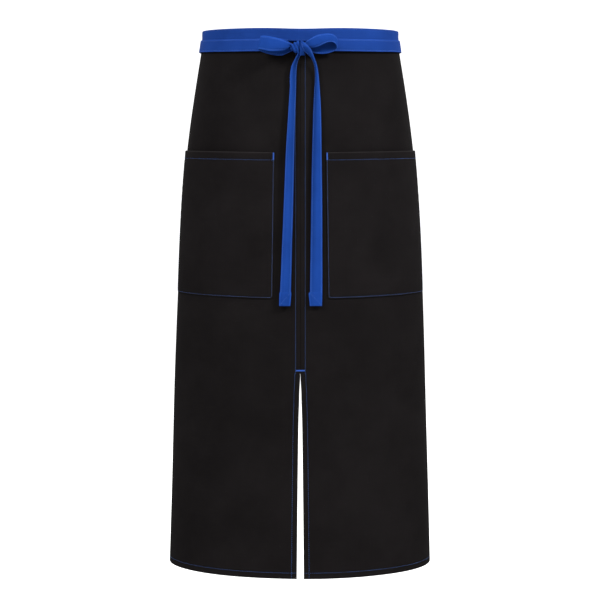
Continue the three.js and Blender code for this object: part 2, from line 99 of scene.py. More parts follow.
# %% The body shape
WAIST_HALF = (156.5, 107)
HIP_SWELL = (32.6, 18)
FLARE = (0.0299, 0.0145)
HIP_DROP, HIP_POWER = 172, 1.25
LEVEL_STEP, ARC_STEP = 2.0, 2.0
LEVELS = np.arange(14.0, -872.0, -LEVEL_STEP)
ARCS = np.arange(0, 570, ARC_STEP)
TURNS = np.linspace(0, 1.4 * math.pi, 1500)


def half_sizes(z):
    """Half width and half depth of the hip ellipse at a height."""
    drop = np.maximum(0, -z)
    hip = 1 - np.exp(-((drop / HIP_DROP) ** HIP_POWER))
    return tuple(waist + swell * hip + flare * drop
                 for waist, swell, flare in zip(WAIST_HALF, HIP_SWELL, FLARE))


def turns_at(z):
    """The ellipse's turning angle at each distance in ARCS, from the centre front."""
    a, b = half_sizes(z)
    speed = np.hypot(a * np.cos(TURNS), b * np.sin(TURNS))
    lengths = np.concatenate([[0], np.cumsum((speed[1:] + speed[:-1]) / 2 * np.diff(TURNS))])
    return np.interp(ARCS, lengths, TURNS)


TURN_TABLE = np.array([turns_at(z) for z in LEVELS])


def place(s, z, out):
    """Millimetre points of cloth coordinates, on the wrapped body."""
    s, z, out = np.broadcast_arrays(*(np.asarray(v, float) for v in (s, z, out)))
    row = np.clip((LEVELS[0] - z) / LEVEL_STEP, 0, len(LEVELS) - 1.001)
    column = np.clip(np.abs(s) / ARC_STEP, 0, len(ARCS) - 1.001)
    i, j = row.astype(int), column.astype(int)
    u, v = row - i, column - j
    upper = TURN_TABLE[i, j] * (1 - v) + TURN_TABLE[i, j + 1] * v
    lower = TURN_TABLE[i + 1, j] * (1 - v) + TURN_TABLE[i + 1, j + 1] * v
    turn = np.sign(s) * (upper * (1 - u) + lower * u)
    a, b = half_sizes(z)
    nx, ny = np.sin(turn) / a, -np.cos(turn) / b
    size = np.hypot(nx, ny)
    x, y = a * np.sin(turn) + nx / size * out, -b * np.cos(turn) + ny / size * out
    return np.stack([x, y, z], -1)


def smooth(low, high, value):
    """0 at low and 1 at high, with soft ends."""
    share = np.clip((np.asarray(value, float) - low) / (high - low), 0, 1)
    return share * share * (3 - 2 * share)


def bell(value, centre, reach):
    """1 at the centre, fading out on both sides."""
    return np.exp(-(((np.asarray(value, float) - centre) / reach) ** 2))


print("centre front at the waist", place(0, 0, 0).round(1), "mm")

# %% [markdown]
# Heavy canvas hangs almost flat, with slow shallow waves that grow towards the hem. The
# waves are a rule in s and z, added to every layer alike, so that pockets, hems and
# stitches all lie on the same moving surface and never cut through each other.
# %% The slow waves of hanging canvas
WAVES_START, WAVES_FULL = -150, -620
LONG_WAVE, SHORT_WAVE, DRIFT, RIPPLE = 0.75, 0.4, 0.6, 0.25


def sway(s, z):
    """How far the waves carry the cloth outwards."""
    long_wave = LONG_WAVE * np.sin(s / 47 + 0.7)
    short_wave = SHORT_WAVE * np.sin(s / 26 - z / 190 + 2.0)
    drift = DRIFT * np.sin(s / 81 + z / 230 + 4.0)
    ripple = RIPPLE * np.sin(s / 33 + z / 60) * smooth(-30, -120, z)
    return smooth(WAVES_START, WAVES_FULL, z) * (long_wave + short_wave + drift) + ripple


def on_cloth(s, z, out):
    return place(s, z, out + sway(s, z))


# %% [markdown]
# The camera stands a little under the waist and looks slightly down. A long lens keeps
# the sides of the apron nearly parallel. The floor is a pale sweep well below the hem.
# A small lamp on the right throws the soft shadows beside the ties, and a wide one on
# the left fills them. Two more light the back.
# %% Camera, floor and lights
def aim_camera(distance, height, tilt, lens):
    data = bpy.data.cameras.new("camera")
    data.lens, data.sensor_width, data.clip_end = lens, 36, 60
    camera = bpy.data.objects.new("camera", data)
    bpy.context.scene.collection.objects.link(camera)
    camera.location = (-0.0005, -distance, height)
    camera.rotation_euler = (math.radians(90 - tilt), 0, 0)
    bpy.context.scene.camera = camera


def soft_light(name, size, power, location, target):
    data = bpy.data.lights.new(name, "AREA")
    data.shape, data.size, data.energy = "DISK", size, power
    light = bpy.data.objects.new(name, data)
    bpy.context.scene.collection.objects.link(light)
    light.location = location
    towards = [t - a for t, a in zip(target, location)]
    light.rotation_euler = Vector(towards).to_track_quat("-Z", "Y").to_euler()


def seen_white(tree, lit, extra):
    """A strength of lit for the light it gives, raised by extra where the camera sees it."""
    path = tree.nodes.new("ShaderNodeLightPath")
    strength = tree.nodes.new("ShaderNodeMath")
    strength.operation = "MULTIPLY_ADD"
    tree.links.new(path.outputs["Is Camera Ray"], strength.inputs[0])
    strength.inputs[1].default_value, strength.inputs[2].default_value = extra, lit
    return strength.outputs[0]


def pale_sweep(level, radius):
    """A floor that curves up into a wall behind, wide enough for every view."""
    mesh = bpy.data.meshes.new("sweep")
    rings = [(0, 0), (radius * 0.35, 0), (radius * 0.7, 0), (radius * 0.9, 0.06), (radius, 0.3)]
    points, faces, sides = [(0, 0, level)], [], 64
    for reach, rise in rings[1:]:
        for k in range(sides):
            turn = 2 * math.pi * k / sides
            points.append((reach * math.cos(turn), reach * math.sin(turn), level + rise * radius))
    for k in range(sides):
        after = (k + 1) % sides
        faces.append((0, 1 + k, 1 + after))
        for ring in range(len(rings) - 2):
            low, high = 1 + ring * sides, 1 + (ring + 1) * sides
            faces.append((low + k, high + k, high + after, low + after))
    mesh.from_pydata(points, [], faces)
    mesh.shade_smooth()
    floor = bpy.data.objects.new("sweep", mesh)
    bpy.context.scene.collection.objects.link(floor)
    paint = bpy.data.materials.new("pale_floor")
    paint.use_nodes = True
    shader = paint.node_tree.nodes["Principled BSDF"]
    shader.inputs["Base Color"].default_value = (0.6, 0.6, 0.6, 1)
    shader.inputs["Roughness"].default_value = 0.9
    shader.inputs["Specular IOR Level"].default_value = 0.1
    shader.inputs["Emission Color"].default_value = (1, 1, 1, 1)
    glow = seen_white(paint.node_tree, 0.0, 1.0)
    paint.node_tree.links.new(glow, shader.inputs["Emission Strength"])
    mesh.materials.append(paint)


AMBIENT = 0.36
FLOOR_GAP = 0.17
LAMPS = [("key", 0.6, 112, (2.1, -1.6, 1.95), (0, 0, 0)),
         ("fill", 1.6, 78, (-1.8, -1.9, 1.9), (0, 0, 0.1)),
         ("back_left", 1.6, 26, (-1.6, 2.2, 0.9), (0, 0, -0.4)),
         ("back_right", 1.6, 26, (1.6, 2.2, 0.9), (0, 0, -0.4))]
aim_camera(distance=2.993, height=-0.1735, tilt=4.8, lens=110.3)
pale_sweep(level=cad_box[0][2] - FLOOR_GAP, radius=9)
world = bpy.data.worlds.new("studio")
world.use_nodes = True
world.node_tree.nodes["Background"].inputs["Color"].default_value = (1, 1, 1, 1)
world.node_tree.links.new(seen_white(world.node_tree, AMBIENT, 1 - AMBIENT),
                          world.node_tree.nodes["Background"].inputs["Strength"])
bpy.context.scene.world = world
bpy.context.scene.view_settings.view_transform = "Standard"
for lamp in LAMPS:
    soft_light(*lamp)
print("lamps", [lamp[0] for lamp in LAMPS])

# %% [markdown]
# Cloth shows its weave up close: each thread passes over one and under the next. Every
# cloth here shares one weave, built once as a node group that puts out a height for
# bump and a tone for colour. A second group adds what use does: rubbed edges and lint.
# %% Node helpers
def plug(node, inputs):
    """Links each named input to a socket, or sets it to a value."""
    for name, value in dict(inputs).items():
        if isinstance(value, bpy.types.NodeSocket):
            node.id_data.links.new(value, node.inputs[name])
        else:
            node.inputs[name].default_value = value


def add_node(tree, kind, inputs=(), **settings):
    node = tree.nodes.new(kind)
    for name, value in settings.items():
        setattr(node, name, value)
    plug(node, inputs)
    return node


def mix_tones(tree, share, low, high):
    """The colour between low and high at a share from 0 to 1."""
    tones = {0: share, 6: low, 7: high}
    return add_node(tree, "ShaderNodeMix", tones, data_type="RGBA").outputs[2]


def read_attribute(tree, name):
    return add_node(tree, "ShaderNodeAttribute", attribute_name=name).outputs["Fac"]


def new_finish(name):
    """A material with its node tree and shader, and where each point lies on the object."""
    finish = bpy.data.materials.new(name)
    finish.use_nodes = True
    tree = finish.node_tree
    here = add_node(tree, "ShaderNodeTexCoord").outputs["Object"]
    return finish, tree, tree.nodes["Principled BSDF"], here


def calc(tree, operation, a, b=0.0):
    """The result of one sum on two sockets or values."""
    return add_node(tree, "ShaderNodeMath", {0: a, 1: b}, operation=operation).outputs[0]


def new_group(name, inputs, outputs):
    group = bpy.data.node_groups.new(name, "ShaderNodeTree")
    for label, kind, value in inputs:
        socket = group.interface.new_socket(label, in_out="INPUT", socket_type=f"NodeSocket{kind}")
        if value is not None:
            socket.default_value = value
    for label, kind in outputs:
        group.interface.new_socket(label, in_out="OUTPUT", socket_type=f"NodeSocket{kind}")
    return group, group.nodes.new("NodeGroupInput"), group.nodes.new("NodeGroupOutput")


# %% The weave group
def build_weave():
    group, given, out = new_group(
        "canvas_weave",
        [("Cloth", "Vector", None), ("Threads", "Float", 1500.0), ("Slub", "Float", 0.4)],
        [("Height", "Float"), ("Tone", "Float")],
    )
    split = add_node(group, "ShaderNodeSeparateXYZ", {0: given.outputs["Cloth"]})
    across = calc(group, "MULTIPLY", split.outputs[0], given.outputs["Threads"])
    along = calc(group, "MULTIPLY", split.outputs[1], given.outputs["Threads"])
    warp = calc(group, "SINE", calc(group, "MULTIPLY", across, math.pi))
    weft = calc(group, "SINE", calc(group, "MULTIPLY", along, math.pi))
    over = calc(group, "GREATER_THAN", calc(group, "MULTIPLY", warp, weft))
    rounded = add_node(group, "ShaderNodeMix", {0: over}, data_type="FLOAT")
    group.links.new(calc(group, "ABSOLUTE", warp), rounded.inputs[2])
    group.links.new(calc(group, "ABSOLUTE", weft), rounded.inputs[3])
    slubs = []
    for stretch in ((9, 900, 1), (900, 9, 1)):
        scaled = add_node(group, "ShaderNodeVectorMath", {0: given.outputs["Cloth"], 1: stretch},
                          operation="MULTIPLY")
        noise = add_node(group, "ShaderNodeTexNoise", {"Vector": scaled.outputs[0], "Scale": 1.0,
                                                       "Detail": 2.0})
        slubs.append(noise.outputs["Fac"])
    slub = calc(group, "MULTIPLY", calc(group, "ADD", slubs[0], slubs[1]), given.outputs["Slub"])
    height = calc(group, "ADD", calc(group, "MULTIPLY", rounded.outputs[0], 0.6), slub)
    group.links.new(height, out.inputs["Height"])
    tone = calc(group, "ADD", calc(group, "MULTIPLY", rounded.outputs[0], 0.35), slub)
    group.links.new(tone, out.inputs["Tone"])
    return group


# %% The wear group
def build_wear():
    group, given, out = new_group(
        "rub_and_lint",
        [("Place", "Vector", None), ("Edge", "Float", 50.0), ("Rub", "Float", 0.5),
         ("Lint", "Float", 0.3)],
        [("Rubbed", "Float"), ("Linted", "Float"), ("Cloudy", "Float")],
    )
    cloud = add_node(group, "ShaderNodeTexNoise", {"Vector": given.outputs["Place"], "Scale": 12.0,
                                                   "Detail": 4.0, "Roughness": 0.6})
    cloudy = add_node(group, "ShaderNodeMapRange", {"Value": cloud.outputs["Fac"], "From Min": 0.34,
                                                    "From Max": 0.66, "To Min": 0.0, "To Max": 1.0})
    patch = add_node(group, "ShaderNodeTexNoise", {"Vector": given.outputs["Place"], "Scale": 45.0,
                                                   "Detail": 3.0})
    near = add_node(group, "ShaderNodeMapRange", {"Value": given.outputs["Edge"], "From Min": 0.2,
                                                  "From Max": 2.4, "To Min": 1.0, "To Max": 0.0})
    rubbed = calc(group, "MULTIPLY", calc(group, "MULTIPLY", near.outputs[0], patch.outputs["Fac"]),
                  given.outputs["Rub"])
    group.links.new(rubbed, out.inputs["Rubbed"])
    fleck = add_node(group, "ShaderNodeTexVoronoi",
                     {"Vector": given.outputs["Place"], "Scale": 160.0, "Randomness": 1.0})
    speck = add_node(group, "ShaderNodeMapRange", {"Value": fleck.outputs["Distance"],
                                                   "From Min": 0.03, "From Max": 0.09,
                                                   "To Min": 1.0, "To Max": 0.0})
    strewn = calc(group, "MULTIPLY", speck.outputs[0], cloud.outputs["Fac"])
    linted = calc(group, "MULTIPLY", strewn, given.outputs["Lint"])
    group.links.new(linted, out.inputs["Linted"])
    group.links.new(cloudy.outputs[0], out.inputs["Cloudy"])
    return group


weave_group, wear_group = build_weave(), build_wear()
print("groups", weave_group.name, wear_group.name)

# %% [markdown]
# A cloth finish is a dark and a light tone of one dye, mixed by the weave and by slow
# cloudy patches, then lightened where an edge has rubbed, and darkened by painted shade
# inside the bow loops, in the knot's pleats and on the tails past their folds. The sheen is
# the fuzz of short fibres that catches light at the silhouette. Canvas has almost no gloss.
# %% Cloth finishes
RUB, LINT = 0.5, 0.25
LINT_TONE = (0.1, 0.1, 0.11, 1)
# How dark the painted shade gets, as a share of the dark tone.
PAINTED_SHADE_DEPTH = 0.28


def cloth_finish(name, dark, light, threads, depth, sheen, gloss):
    finish, tree, shader, here = new_finish(name)
    uv = add_node(tree, "ShaderNodeUVMap", uv_map="cloth")
    weave = add_node(tree, "ShaderNodeGroup", node_tree=weave_group)
    plug(weave, {"Cloth": uv.outputs[0], "Threads": threads})
    wear = add_node(tree, "ShaderNodeGroup", node_tree=wear_group)
    plug(wear, {"Place": here, "Edge": read_attribute(tree, "edge"), "Rub": RUB, "Lint": LINT})
    mixed = calc(tree, "ADD", calc(tree, "MULTIPLY", weave.outputs["Tone"], 0.55),
                 calc(tree, "MULTIPLY", wear.outputs["Cloudy"], 0.45))
    pale = tuple(min(1, 2.4 * c + 0.01) for c in light)
    # deep is the dark tone, darkened further for painted shade.
    deep = tuple(PAINTED_SHADE_DEPTH * c for c in dark)
    dyed = mix_tones(tree, mixed, (*dark, 1), (*light, 1))
    rubbed = mix_tones(tree, wear.outputs["Rubbed"], dyed, (*pale, 1))
    linted = mix_tones(tree, wear.outputs["Linted"], rubbed, LINT_TONE)
    # Painted shade: the reverse attribute mixes in the darkened tone inside the bow loops, in the
    # knot's pleats and on the tails past their folds.
    shaded = mix_tones(tree, read_attribute(tree, "reverse"), linted, (*deep, 1))
    rough = add_node(tree, "ShaderNodeMapRange", {"Value": mixed, "To Min": 0.82, "To Max": 0.97})
    bump = add_node(tree, "ShaderNodeBump", {"Height": weave.outputs["Height"], "Strength": 0.5,
                                             "Distance": depth})
    fuzz = (*(min(1, c * 6 + 0.1) for c in light), 1)
    plug(shader, {"Base Color": shaded, "Roughness": rough.outputs[0], "Normal": bump.outputs[0],
                  "Specular IOR Level": gloss, "Sheen Weight": sheen, "Sheen Roughness": 0.45,
                  "Sheen Tint": fuzz})
    return finish


def thread_finish(name, dark, light):
    """Polyester sewing thread: two plies twisted together, a little glossy."""
    finish, tree, shader, here = new_finish(name)
    twist = add_node(tree, "ShaderNodeTexWave", {"Vector": here, "Scale": 900.0, "Distortion": 2.0},
                     bands_direction="DIAGONAL").outputs["Fac"]
    rough = add_node(tree, "ShaderNodeMapRange", {"Value": twist, "To Min": 0.5, "To Max": 0.7})
    bump = add_node(tree, "ShaderNodeBump", {"Height": twist, "Strength": 0.4, "Distance": 0.0001})
    plug(shader, {"Base Color": mix_tones(tree, twist, (*dark, 1), (*light, 1)),
                  "Roughness": rough.outputs[0], "Normal": bump.outputs[0],
                  "Specular IOR Level": 0.3})
    return finish


CANVAS = {"threads": 1400, "depth": 0.00025, "sheen": 0.02, "gloss": 0.015}
BLUE_CLOTH = {"threads": 1900, "depth": 0.0002, "sheen": 0.04, "gloss": 0.03}
black_canvas = cloth_finish(
    "black_canvas", (0.0062, 0.0054, 0.0056), (0.0126, 0.0111, 0.0114), **CANVAS)
pocket_canvas = cloth_finish(
    "pocket_canvas", (0.0064, 0.0056, 0.0058), (0.0132, 0.0116, 0.012), **CANVAS)
band_blue = cloth_finish("band_blue", (0.0068, 0.031, 0.176), (0.0135, 0.055, 0.28), **BLUE_CLOTH)
tie_blue = cloth_finish("tie_blue", (0.0070, 0.036, 0.203), (0.0135, 0.065, 0.335), **BLUE_CLOTH)
blue_thread = thread_finish("blue_thread", (0.032, 0.085, 0.30), (0.07, 0.17, 0.48))
tack_thread = thread_finish("tack_thread", (0.014, 0.06, 0.31), (0.034, 0.13, 0.54))
tone_thread = thread_finish("tone_thread", (0.03, 0.09, 0.36), (0.085, 0.19, 0.55))
print("finishes", sorted(m.name for m in bpy.data.materials))

# %% [markdown]
# A piece of cloth is a closed thin shell: an outer grid, an inner grid and a rim. Where
# the two grids meet at an edge they close into a rounded fold, the way pressed canvas
# turns back under itself. The flat cut is kept as a UV map in metres for the weave.
# %% Build a cloth shell
SAME_POINT, NO_LENGTH = 1e-6, 1e-7


def finish_mesh(name, points, faces, uv, edge, material, reverse=None):
    """A smooth mesh object with its flat cut as UVs and its wear and shade at each point."""
    mesh = bpy.data.meshes.new(name)
    mesh.from_pydata((np.asarray(points).reshape(-1, 3) * MM).tolist(), [], faces)
    layer = mesh.uv_layers.new(name="cloth")
    corners = np.zeros(len(mesh.loops), np.int64)
    mesh.loops.foreach_get("vertex_index", corners)
    flat = np.asarray(uv).reshape(-1, 2)[corners] * MM
    layer.data.foreach_set("uv", flat.ravel().astype(np.float32))
    # The reverse attribute holds painted shade: how far the colour is darkened where the piece lies
    # in shade.
    values = {"edge": edge} if reverse is None else {"edge": edge, "reverse": reverse}
    for label, given in values.items():
        kept = mesh.attributes.new(label, "FLOAT", "POINT")
        kept.data.foreach_set("value", np.asarray(given, np.float32).ravel())
    shape = bmesh.new()
    shape.from_mesh(mesh)
    bmesh.ops.remove_doubles(shape, verts=shape.verts, dist=SAME_POINT)
    bmesh.ops.dissolve_degenerate(shape, dist=NO_LENGTH, edges=shape.edges)
    bmesh.ops.recalc_face_normals(shape, faces=shape.faces)
    shape.to_mesh(mesh)
    shape.free()
    mesh.shade_smooth()
    mesh.materials.append(material)
    made = bpy.data.objects.new(name, mesh)
    bpy.context.scene.collection.objects.link(made)
    return made


def grid_faces(rows, columns, first=0, turned=False):
    """Four-sided faces over a grid of points, turned over where asked."""
    corner = first + np.arange(rows - 1)[:, None] * columns + np.arange(columns - 1)[None, :]
    ring = [corner, corner + 1, corner + columns + 1, corner + columns]
    if turned:
        ring.reverse()
    return np.stack(ring, -1).reshape(-1, 4).tolist()


def cloth_shell(name, outer, inner, uv, edge, material):
    """A closed shell from two grids of points and the rim between them."""
    rows, columns = outer.shape[:2]
    count = rows * columns
    faces = grid_faces(rows, columns) + grid_faces(rows, columns, count, True)
    rim = list(range(columns)) + [r * columns + columns - 1 for r in range(1, rows)]
    rim += [(rows - 1) * columns + c for c in range(columns - 2, -1, -1)]
    rim += [r * columns for r in range(rows - 2, 0, -1)]
    for k, here in enumerate(rim):
        there = rim[(k + 1) % len(rim)]
        faces.append((there, here, here + count, there + count))
    points = np.concatenate([outer.reshape(-1, 3), inner.reshape(-1, 3)])
    uv, edge = np.tile(uv.reshape(-1, 2), (2, 1)), np.tile(edge.ravel(), 2)
    made = finish_mesh(name, points, faces, uv, edge, material)
    print(f"{name}: {len(made.data.polygons)} faces")
    return made


def turned_under(distance, radius):
    """How far a rounded fold has dropped at a distance from its edge."""
    inside = np.clip(radius - np.asarray(distance, float), 0, radius)
    return radius - np.sqrt(np.maximum(radius**2 - inside**2, 0))


def spread(marks, step, high):
    """Grid lines at the marks, with even steps between them up to high."""
    lines = sorted(m for m in marks if 0 <= m <= high)
    filled = [lines[0]]
    for line in lines[1:]:
        pieces = max(1, math.ceil((line - filled[-1]) / step - 1e-6))
        start = filled[-1]
        filled += [start + (line - start) * (k + 1) / pieces for k in range(pieces)]
    return np.array(filled)


# %% [markdown]
# Each main panel is one continuous piece of canvas from the waistband to the hem, with
# a turned hem at its side and bottom, and another where the front slit opens. Below the
# slit the two panels part slowly. Topstitching pulls a shallow groove into the cloth.
# %% The slit and the hems
HEM = 12.0
HEM_ROW, SLIT_ROW = 10.0, 8.4
SEAM_ROW = {-1: 7.4, 1: 7.7}
BUTT_HALF, SLIT_START, SLIT_SPREAD = 0.12, 1.6, 9.4
THREAD_WAVE = 3.6
FOLD_MARKS = [0, 0.08, 0.32, 0.69, 1.15, 1.675]
HEM_MARKS = [HEM - 0.9, HEM - 0.3, HEM + 0.3, HEM + 0.9]


def row_marks(inset):
    return [inset - 1.6, inset - 0.7, inset, inset + 0.7, inset + 1.6]


def slit_half(z):
    """Half the gap between the panels: butted down to the slit, then slowly parting."""
    share = np.clip((SLIT_TOP - z) / (SLIT_TOP - HEM_LEVEL), 0, 1)
    opened = (SLIT_START + SLIT_SPREAD * share**0.6) / 2
    held = 1 - 0.26 * bell(SLIT_TOP - z, 34, 26)
    return BUTT_HALF + (opened - BUTT_HALF) * held * smooth(SLIT_TOP + 1, SLIT_TOP - 34, z)


def groove(distance, along):
    """How deep a row of topstitching pulls the cloth in."""
    pull = 0.24 + 0.1 * np.sin(along * 2 * math.pi / THREAD_WAVE)
    return pull * bell(distance, 0, 0.9)


# %% Main panels
PANEL_STEP = 4.4


def main_panel(name, side):
    hem_lines = FOLD_MARKS + HEM_MARKS + row_marks(HEM_ROW)
    inner_lines = FOLD_MARKS + HEM_MARKS + row_marks(SLIT_ROW) + row_marks(SEAM_ROW[side])
    across = spread(inner_lines + [HALF_CLOTH - m for m in hem_lines], PANEL_STEP, HALF_CLOTH)
    length = PANEL_TOP - HEM_LEVEL
    up = spread(hem_lines + [length], PANEL_STEP, length)
    distance, rise = np.meshgrid(across, up[::-1])
    z = HEM_LEVEL + rise
    half = slit_half(z)
    s = half + distance * (HALF_CLOTH - half) / HALF_CLOTH
    to_side = HALF_CLOTH - distance
    sewn_hem = 1 - smooth(SLIT_TOP + 2, SLIT_TOP - 2, z)
    inner_fold = CLOTH / 2 + (FOLDED - CLOTH) / 2 * (1 - sewn_hem)
    dropped = np.maximum.reduce([
        turned_under(distance, inner_fold), turned_under(to_side, FOLDED / 2),
        turned_under(rise, FOLDED / 2)])
    double = np.maximum.reduce([
        (1 - smooth(HEM - 0.4, HEM + 0.4, distance)) * (1 - sewn_hem),
        1 - smooth(HEM - 0.4, HEM + 0.4, to_side), 1 - smooth(HEM - 0.4, HEM + 0.4, rise)])
    slit_part = groove(distance - SLIT_ROW, z) * (1 - sewn_hem)
    seam_part = groove(distance - SEAM_ROW[side], z) * sewn_hem * smooth(0, -14, z)
    sunk = slit_part + seam_part + groove(to_side - HEM_ROW, z) + groove(rise - HEM_ROW, s)
    band_dip = bow_dip(s) * smooth(-40, 0, z)
    thick = CLOTH + (FOLDED - CLOTH) * double
    waves = sway(side * s, z)
    outer = place(side * s, z - band_dip, waves - dropped - sunk)
    inner = place(side * s, z - band_dip, waves - np.maximum(thick - dropped, dropped) + sunk * 0.5)
    edge = np.minimum.reduce([np.where(z < SLIT_TOP, distance, 99), to_side, rise])
    uv = np.stack([side * s, z], -1)
    return cloth_shell(name, outer, inner, uv, edge, black_canvas)


def bow_dip(s):
    """The tied bow pulls the middle of the waistband down a little."""
    return 1.9 * bell(s, 3, 44)


SIDES = {"left": -1, "right": 1}
panels = {name: main_panel(f"{name}_body_panel", side) for name, side in SIDES.items()}

# %% [markdown]
# Behind the centre seam the two raw edges lie pressed open, closed in by a strip of the
# same canvas that both rows of topstitching hold down. It shows only from inside.
# %% Seam strip inside the centre seam
def seam_strip():
    low, high = box_mm("centre_seam")
    left, width = low[0] + 0.2, high[0] - low[0] - 0.4
    edges = [0, 0.1, 0.35, 0.75]
    across = spread(edges + [3, 8] + [width - m for m in edges], 2.5, width)
    up = spread([0, high[2] - low[2]], 4.0, high[2] - low[2])
    distance, rise = np.meshgrid(across, up[::-1])
    s, z = left + distance, low[2] + rise
    nearest = np.minimum(distance, width - distance)
    drop = turned_under(nearest, CLOTH / 2)
    out = sway(s, z) - CLOTH - GAP
    outer, inner = place(s, z, out - drop), place(s, z, out - CLOTH + drop)
    uv = np.stack([s, z], -1)
    return cloth_shell("centre_seam_strip", outer, inner, uv, nearest, black_canvas)


centre_strip = seam_strip()

# %% [markdown]
# The waistband is one blue strip folded over the top of the panels. Its section is a
# small arch: outer wall, rounded fold and inner wall, carried along the whole top edge
# with two caps at the back opening. The row of topstitching near the top makes a lip.
# %% Sweep a section along cloth coordinates
def tube_faces(rings, around):
    """Faces of a closed tube of rings, and of its two caps round the two points after it."""
    faces = []
    for i in range(rings - 1):
        for k in range(around):
            a, b = i * around + k, i * around + (k + 1) % around
            faces.append((a, b, b + around, a + around))
    count, last = rings * around, (rings - 1) * around
    for k in range(around):
        after = (k + 1) % around
        faces += [(count, after, k), (count + 1, last + k, last + after)]
    return faces


def swept(name, stations, section, material, uv_of, reverse=None):
    """stations: (n, m, 3) points, one closed section of m points at each of n stations."""
    n, m = stations.shape[:2]
    faces = tube_faces(n, m)
    points = np.concatenate([stations.reshape(-1, 3), stations[[0, -1]].mean(1)])
    uv = np.concatenate([uv_of.reshape(-1, 2), uv_of[[0, -1]].mean(1)])
    edge = np.concatenate([np.tile(section, n), [0, 0]])
    # reverse holds painted shade for each point of the section at each station.
    if reverse is not None:
        reverse = np.concatenate([np.broadcast_to(reverse, (n, m)).ravel(), [0, 0]])
    made = finish_mesh(name, points, faces, uv, edge, material, reverse)
    print(f"{name}: {len(made.data.polygons)} faces")
    return made


# %% Waistband
LIP_LINE = BAND_TOP - 2.0
PANEL_EDGE = 8.35


def band_section():
    """The arch as a closed loop of (out, z) pairs: outer wall, fold, back wall and inside."""
    outer_out, inner_out = GAP + CLOTH, -FOLDED
    wall = [(outer_out, z) for z in np.linspace(BAND_BOTTOM, BAND_TOP - 3.2, 9)]
    wall += [(outer_out - 0.1, BAND_TOP - 2.4), (outer_out - 0.12, LIP_LINE),
             (outer_out, BAND_TOP - 1.5)]
    arch = [(-0.75 + 2.6 * math.cos(t), BAND_TOP - 1.6 + 1.6 * math.sin(t))
            for t in np.linspace(0.15, math.pi - 0.15, 9)]
    back = [(inner_out, z) for z in np.linspace(BAND_TOP - 1.8, BAND_BOTTOM, 8)]
    inside = [(-CLOTH - GAP, z) for z in np.linspace(BAND_BOTTOM, PANEL_EDGE, 6)]
    inside += [(GAP, z) for z in np.linspace(PANEL_EDGE, BAND_BOTTOM, 6)]
    return np.array(wall + arch + back + inside)


def waistband():
    section = band_section()
    s = np.linspace(-HALF_CLOTH, HALF_CLOTH, 381)[:, None]
    out = section[None, :, 0] + 0 * s
    z = section[None, :, 1] + 0 * s
    outside = (out > GAP + 0.2) * 1.0
    pucker = 0.16 * np.sin(s / 1.9 + 0.8 * np.sin(s / 23)) * bell(z, BAND_TOP - 3.5, 2.5)
    slack = 0.22 * np.sin(s / 11 + z / 6) * np.sin(s / 37 + 1) * bell(z, 1, 6)
    lip = -0.30 * bell(z, LIP_LINE, 0.8)
    ends = turned_under(HALF_CLOTH - np.abs(s), 0.7)
    out = out + outside * (pucker + slack + lip - ends)
    flat_z = np.concatenate([[0], np.cumsum(np.hypot(*np.diff(section, axis=0).T))])
    uv = np.stack([s + 0 * z, flat_z[None, :] + 0 * s], -1)
    edge = 4 * np.abs(section[:, 1] - BAND_TOP)
    return swept("waistband_cloth", place(s, z - bow_dip(s), out), edge, band_blue, uv)


band = waistband()

# %% [markdown]
# A tie is a narrow strip folded double and stitched along both edges, 20 mm wide. Each
# one is sewn to its own end of the band at the back, crosses the opening, comes round
# the other side over the band's lower half, and goes into the knot at the front.
# %% The tie's section
TIE_WIDTH, EDGE_ROW = 20.0, 2.0
TIE_THICK = 1.2
BACK_UV = 40


def tie_section():
    """Closed section of a stitched strap: (across, out) pairs and distances from its edge."""
    half = TIE_WIDTH / 2
    side = [0, 0.1, 0.35, 0.8, EDGE_ROW - 0.7, EDGE_ROW, EDGE_ROW + 0.7, 4.2]
    outs = [0, 0.3, 0.5, 0.6, 0.58, 0.42, 0.6, 0.68]
    up = [(d - half, o) for d, o in zip(side, outs)] + [(0, 0.7)]
    up += [(half - d, o) for d, o in zip(side[::-1], outs[::-1])]
    down = [(a, -o) for a, o in up[-2:0:-1]]
    points = np.array(up + down)
    return points, half - np.abs(points[:, 0])


# %% Ties round the body
TIE_FRONT, TIE_BACK = -17.5, -21.5
TIE_GIRTH = 2 * np.interp(math.pi, turns_at(TIE_FRONT), ARCS)
OWN_END = TIE_GIRTH - HALF_CLOTH
TIE_CLEAR = 1.6
TIE_MIDDLE = GAP + CLOTH + TIE_CLEAR + TIE_THICK / 2
STEP_OVER = 8
SEWN_ON = 18.01
LIFTS = {"left": 2.2, "right": 0}
knot_low, knot_high = box_mm("knot")
KNOT_SIDES = {"left": knot_high[0], "right": -knot_low[0]}


def tie_path(s, side, lift):
    """Level, standing-off and width of a tie at each distance round the body."""
    climb = smooth(HALF_CLOTH + STEP_OVER, OWN_END - STEP_OVER, s)
    level = TIE_FRONT + (TIE_BACK - TIE_FRONT) * smooth(HALF_CLOTH / 2, HALF_CLOTH, s)
    rise = smooth(HALF_CLOTH - STEP_OVER, HALF_CLOTH + STEP_OVER, s)
    fall = smooth(OWN_END - STEP_OVER, OWN_END + STEP_OVER, s)
    gather = smooth(30, 11, s)
    width = TIE_WIDTH - 0.9 - 8 * gather
    slack = 0.5 * np.sin(s / 21 + side) * smooth(20, 60, s) * smooth(HALF_CLOTH, HALF_CLOTH - 60, s)
    hip = bell(s, TIE_GIRTH / 4, 70)
    out = TIE_MIDDLE + lift * (rise - fall) + 0.6 * gather + 0.25 * slack - 0.9 * hip
    return level * (1 - climb) + 0.4 - 4.4 * gather + 2.5 * hip, out, width


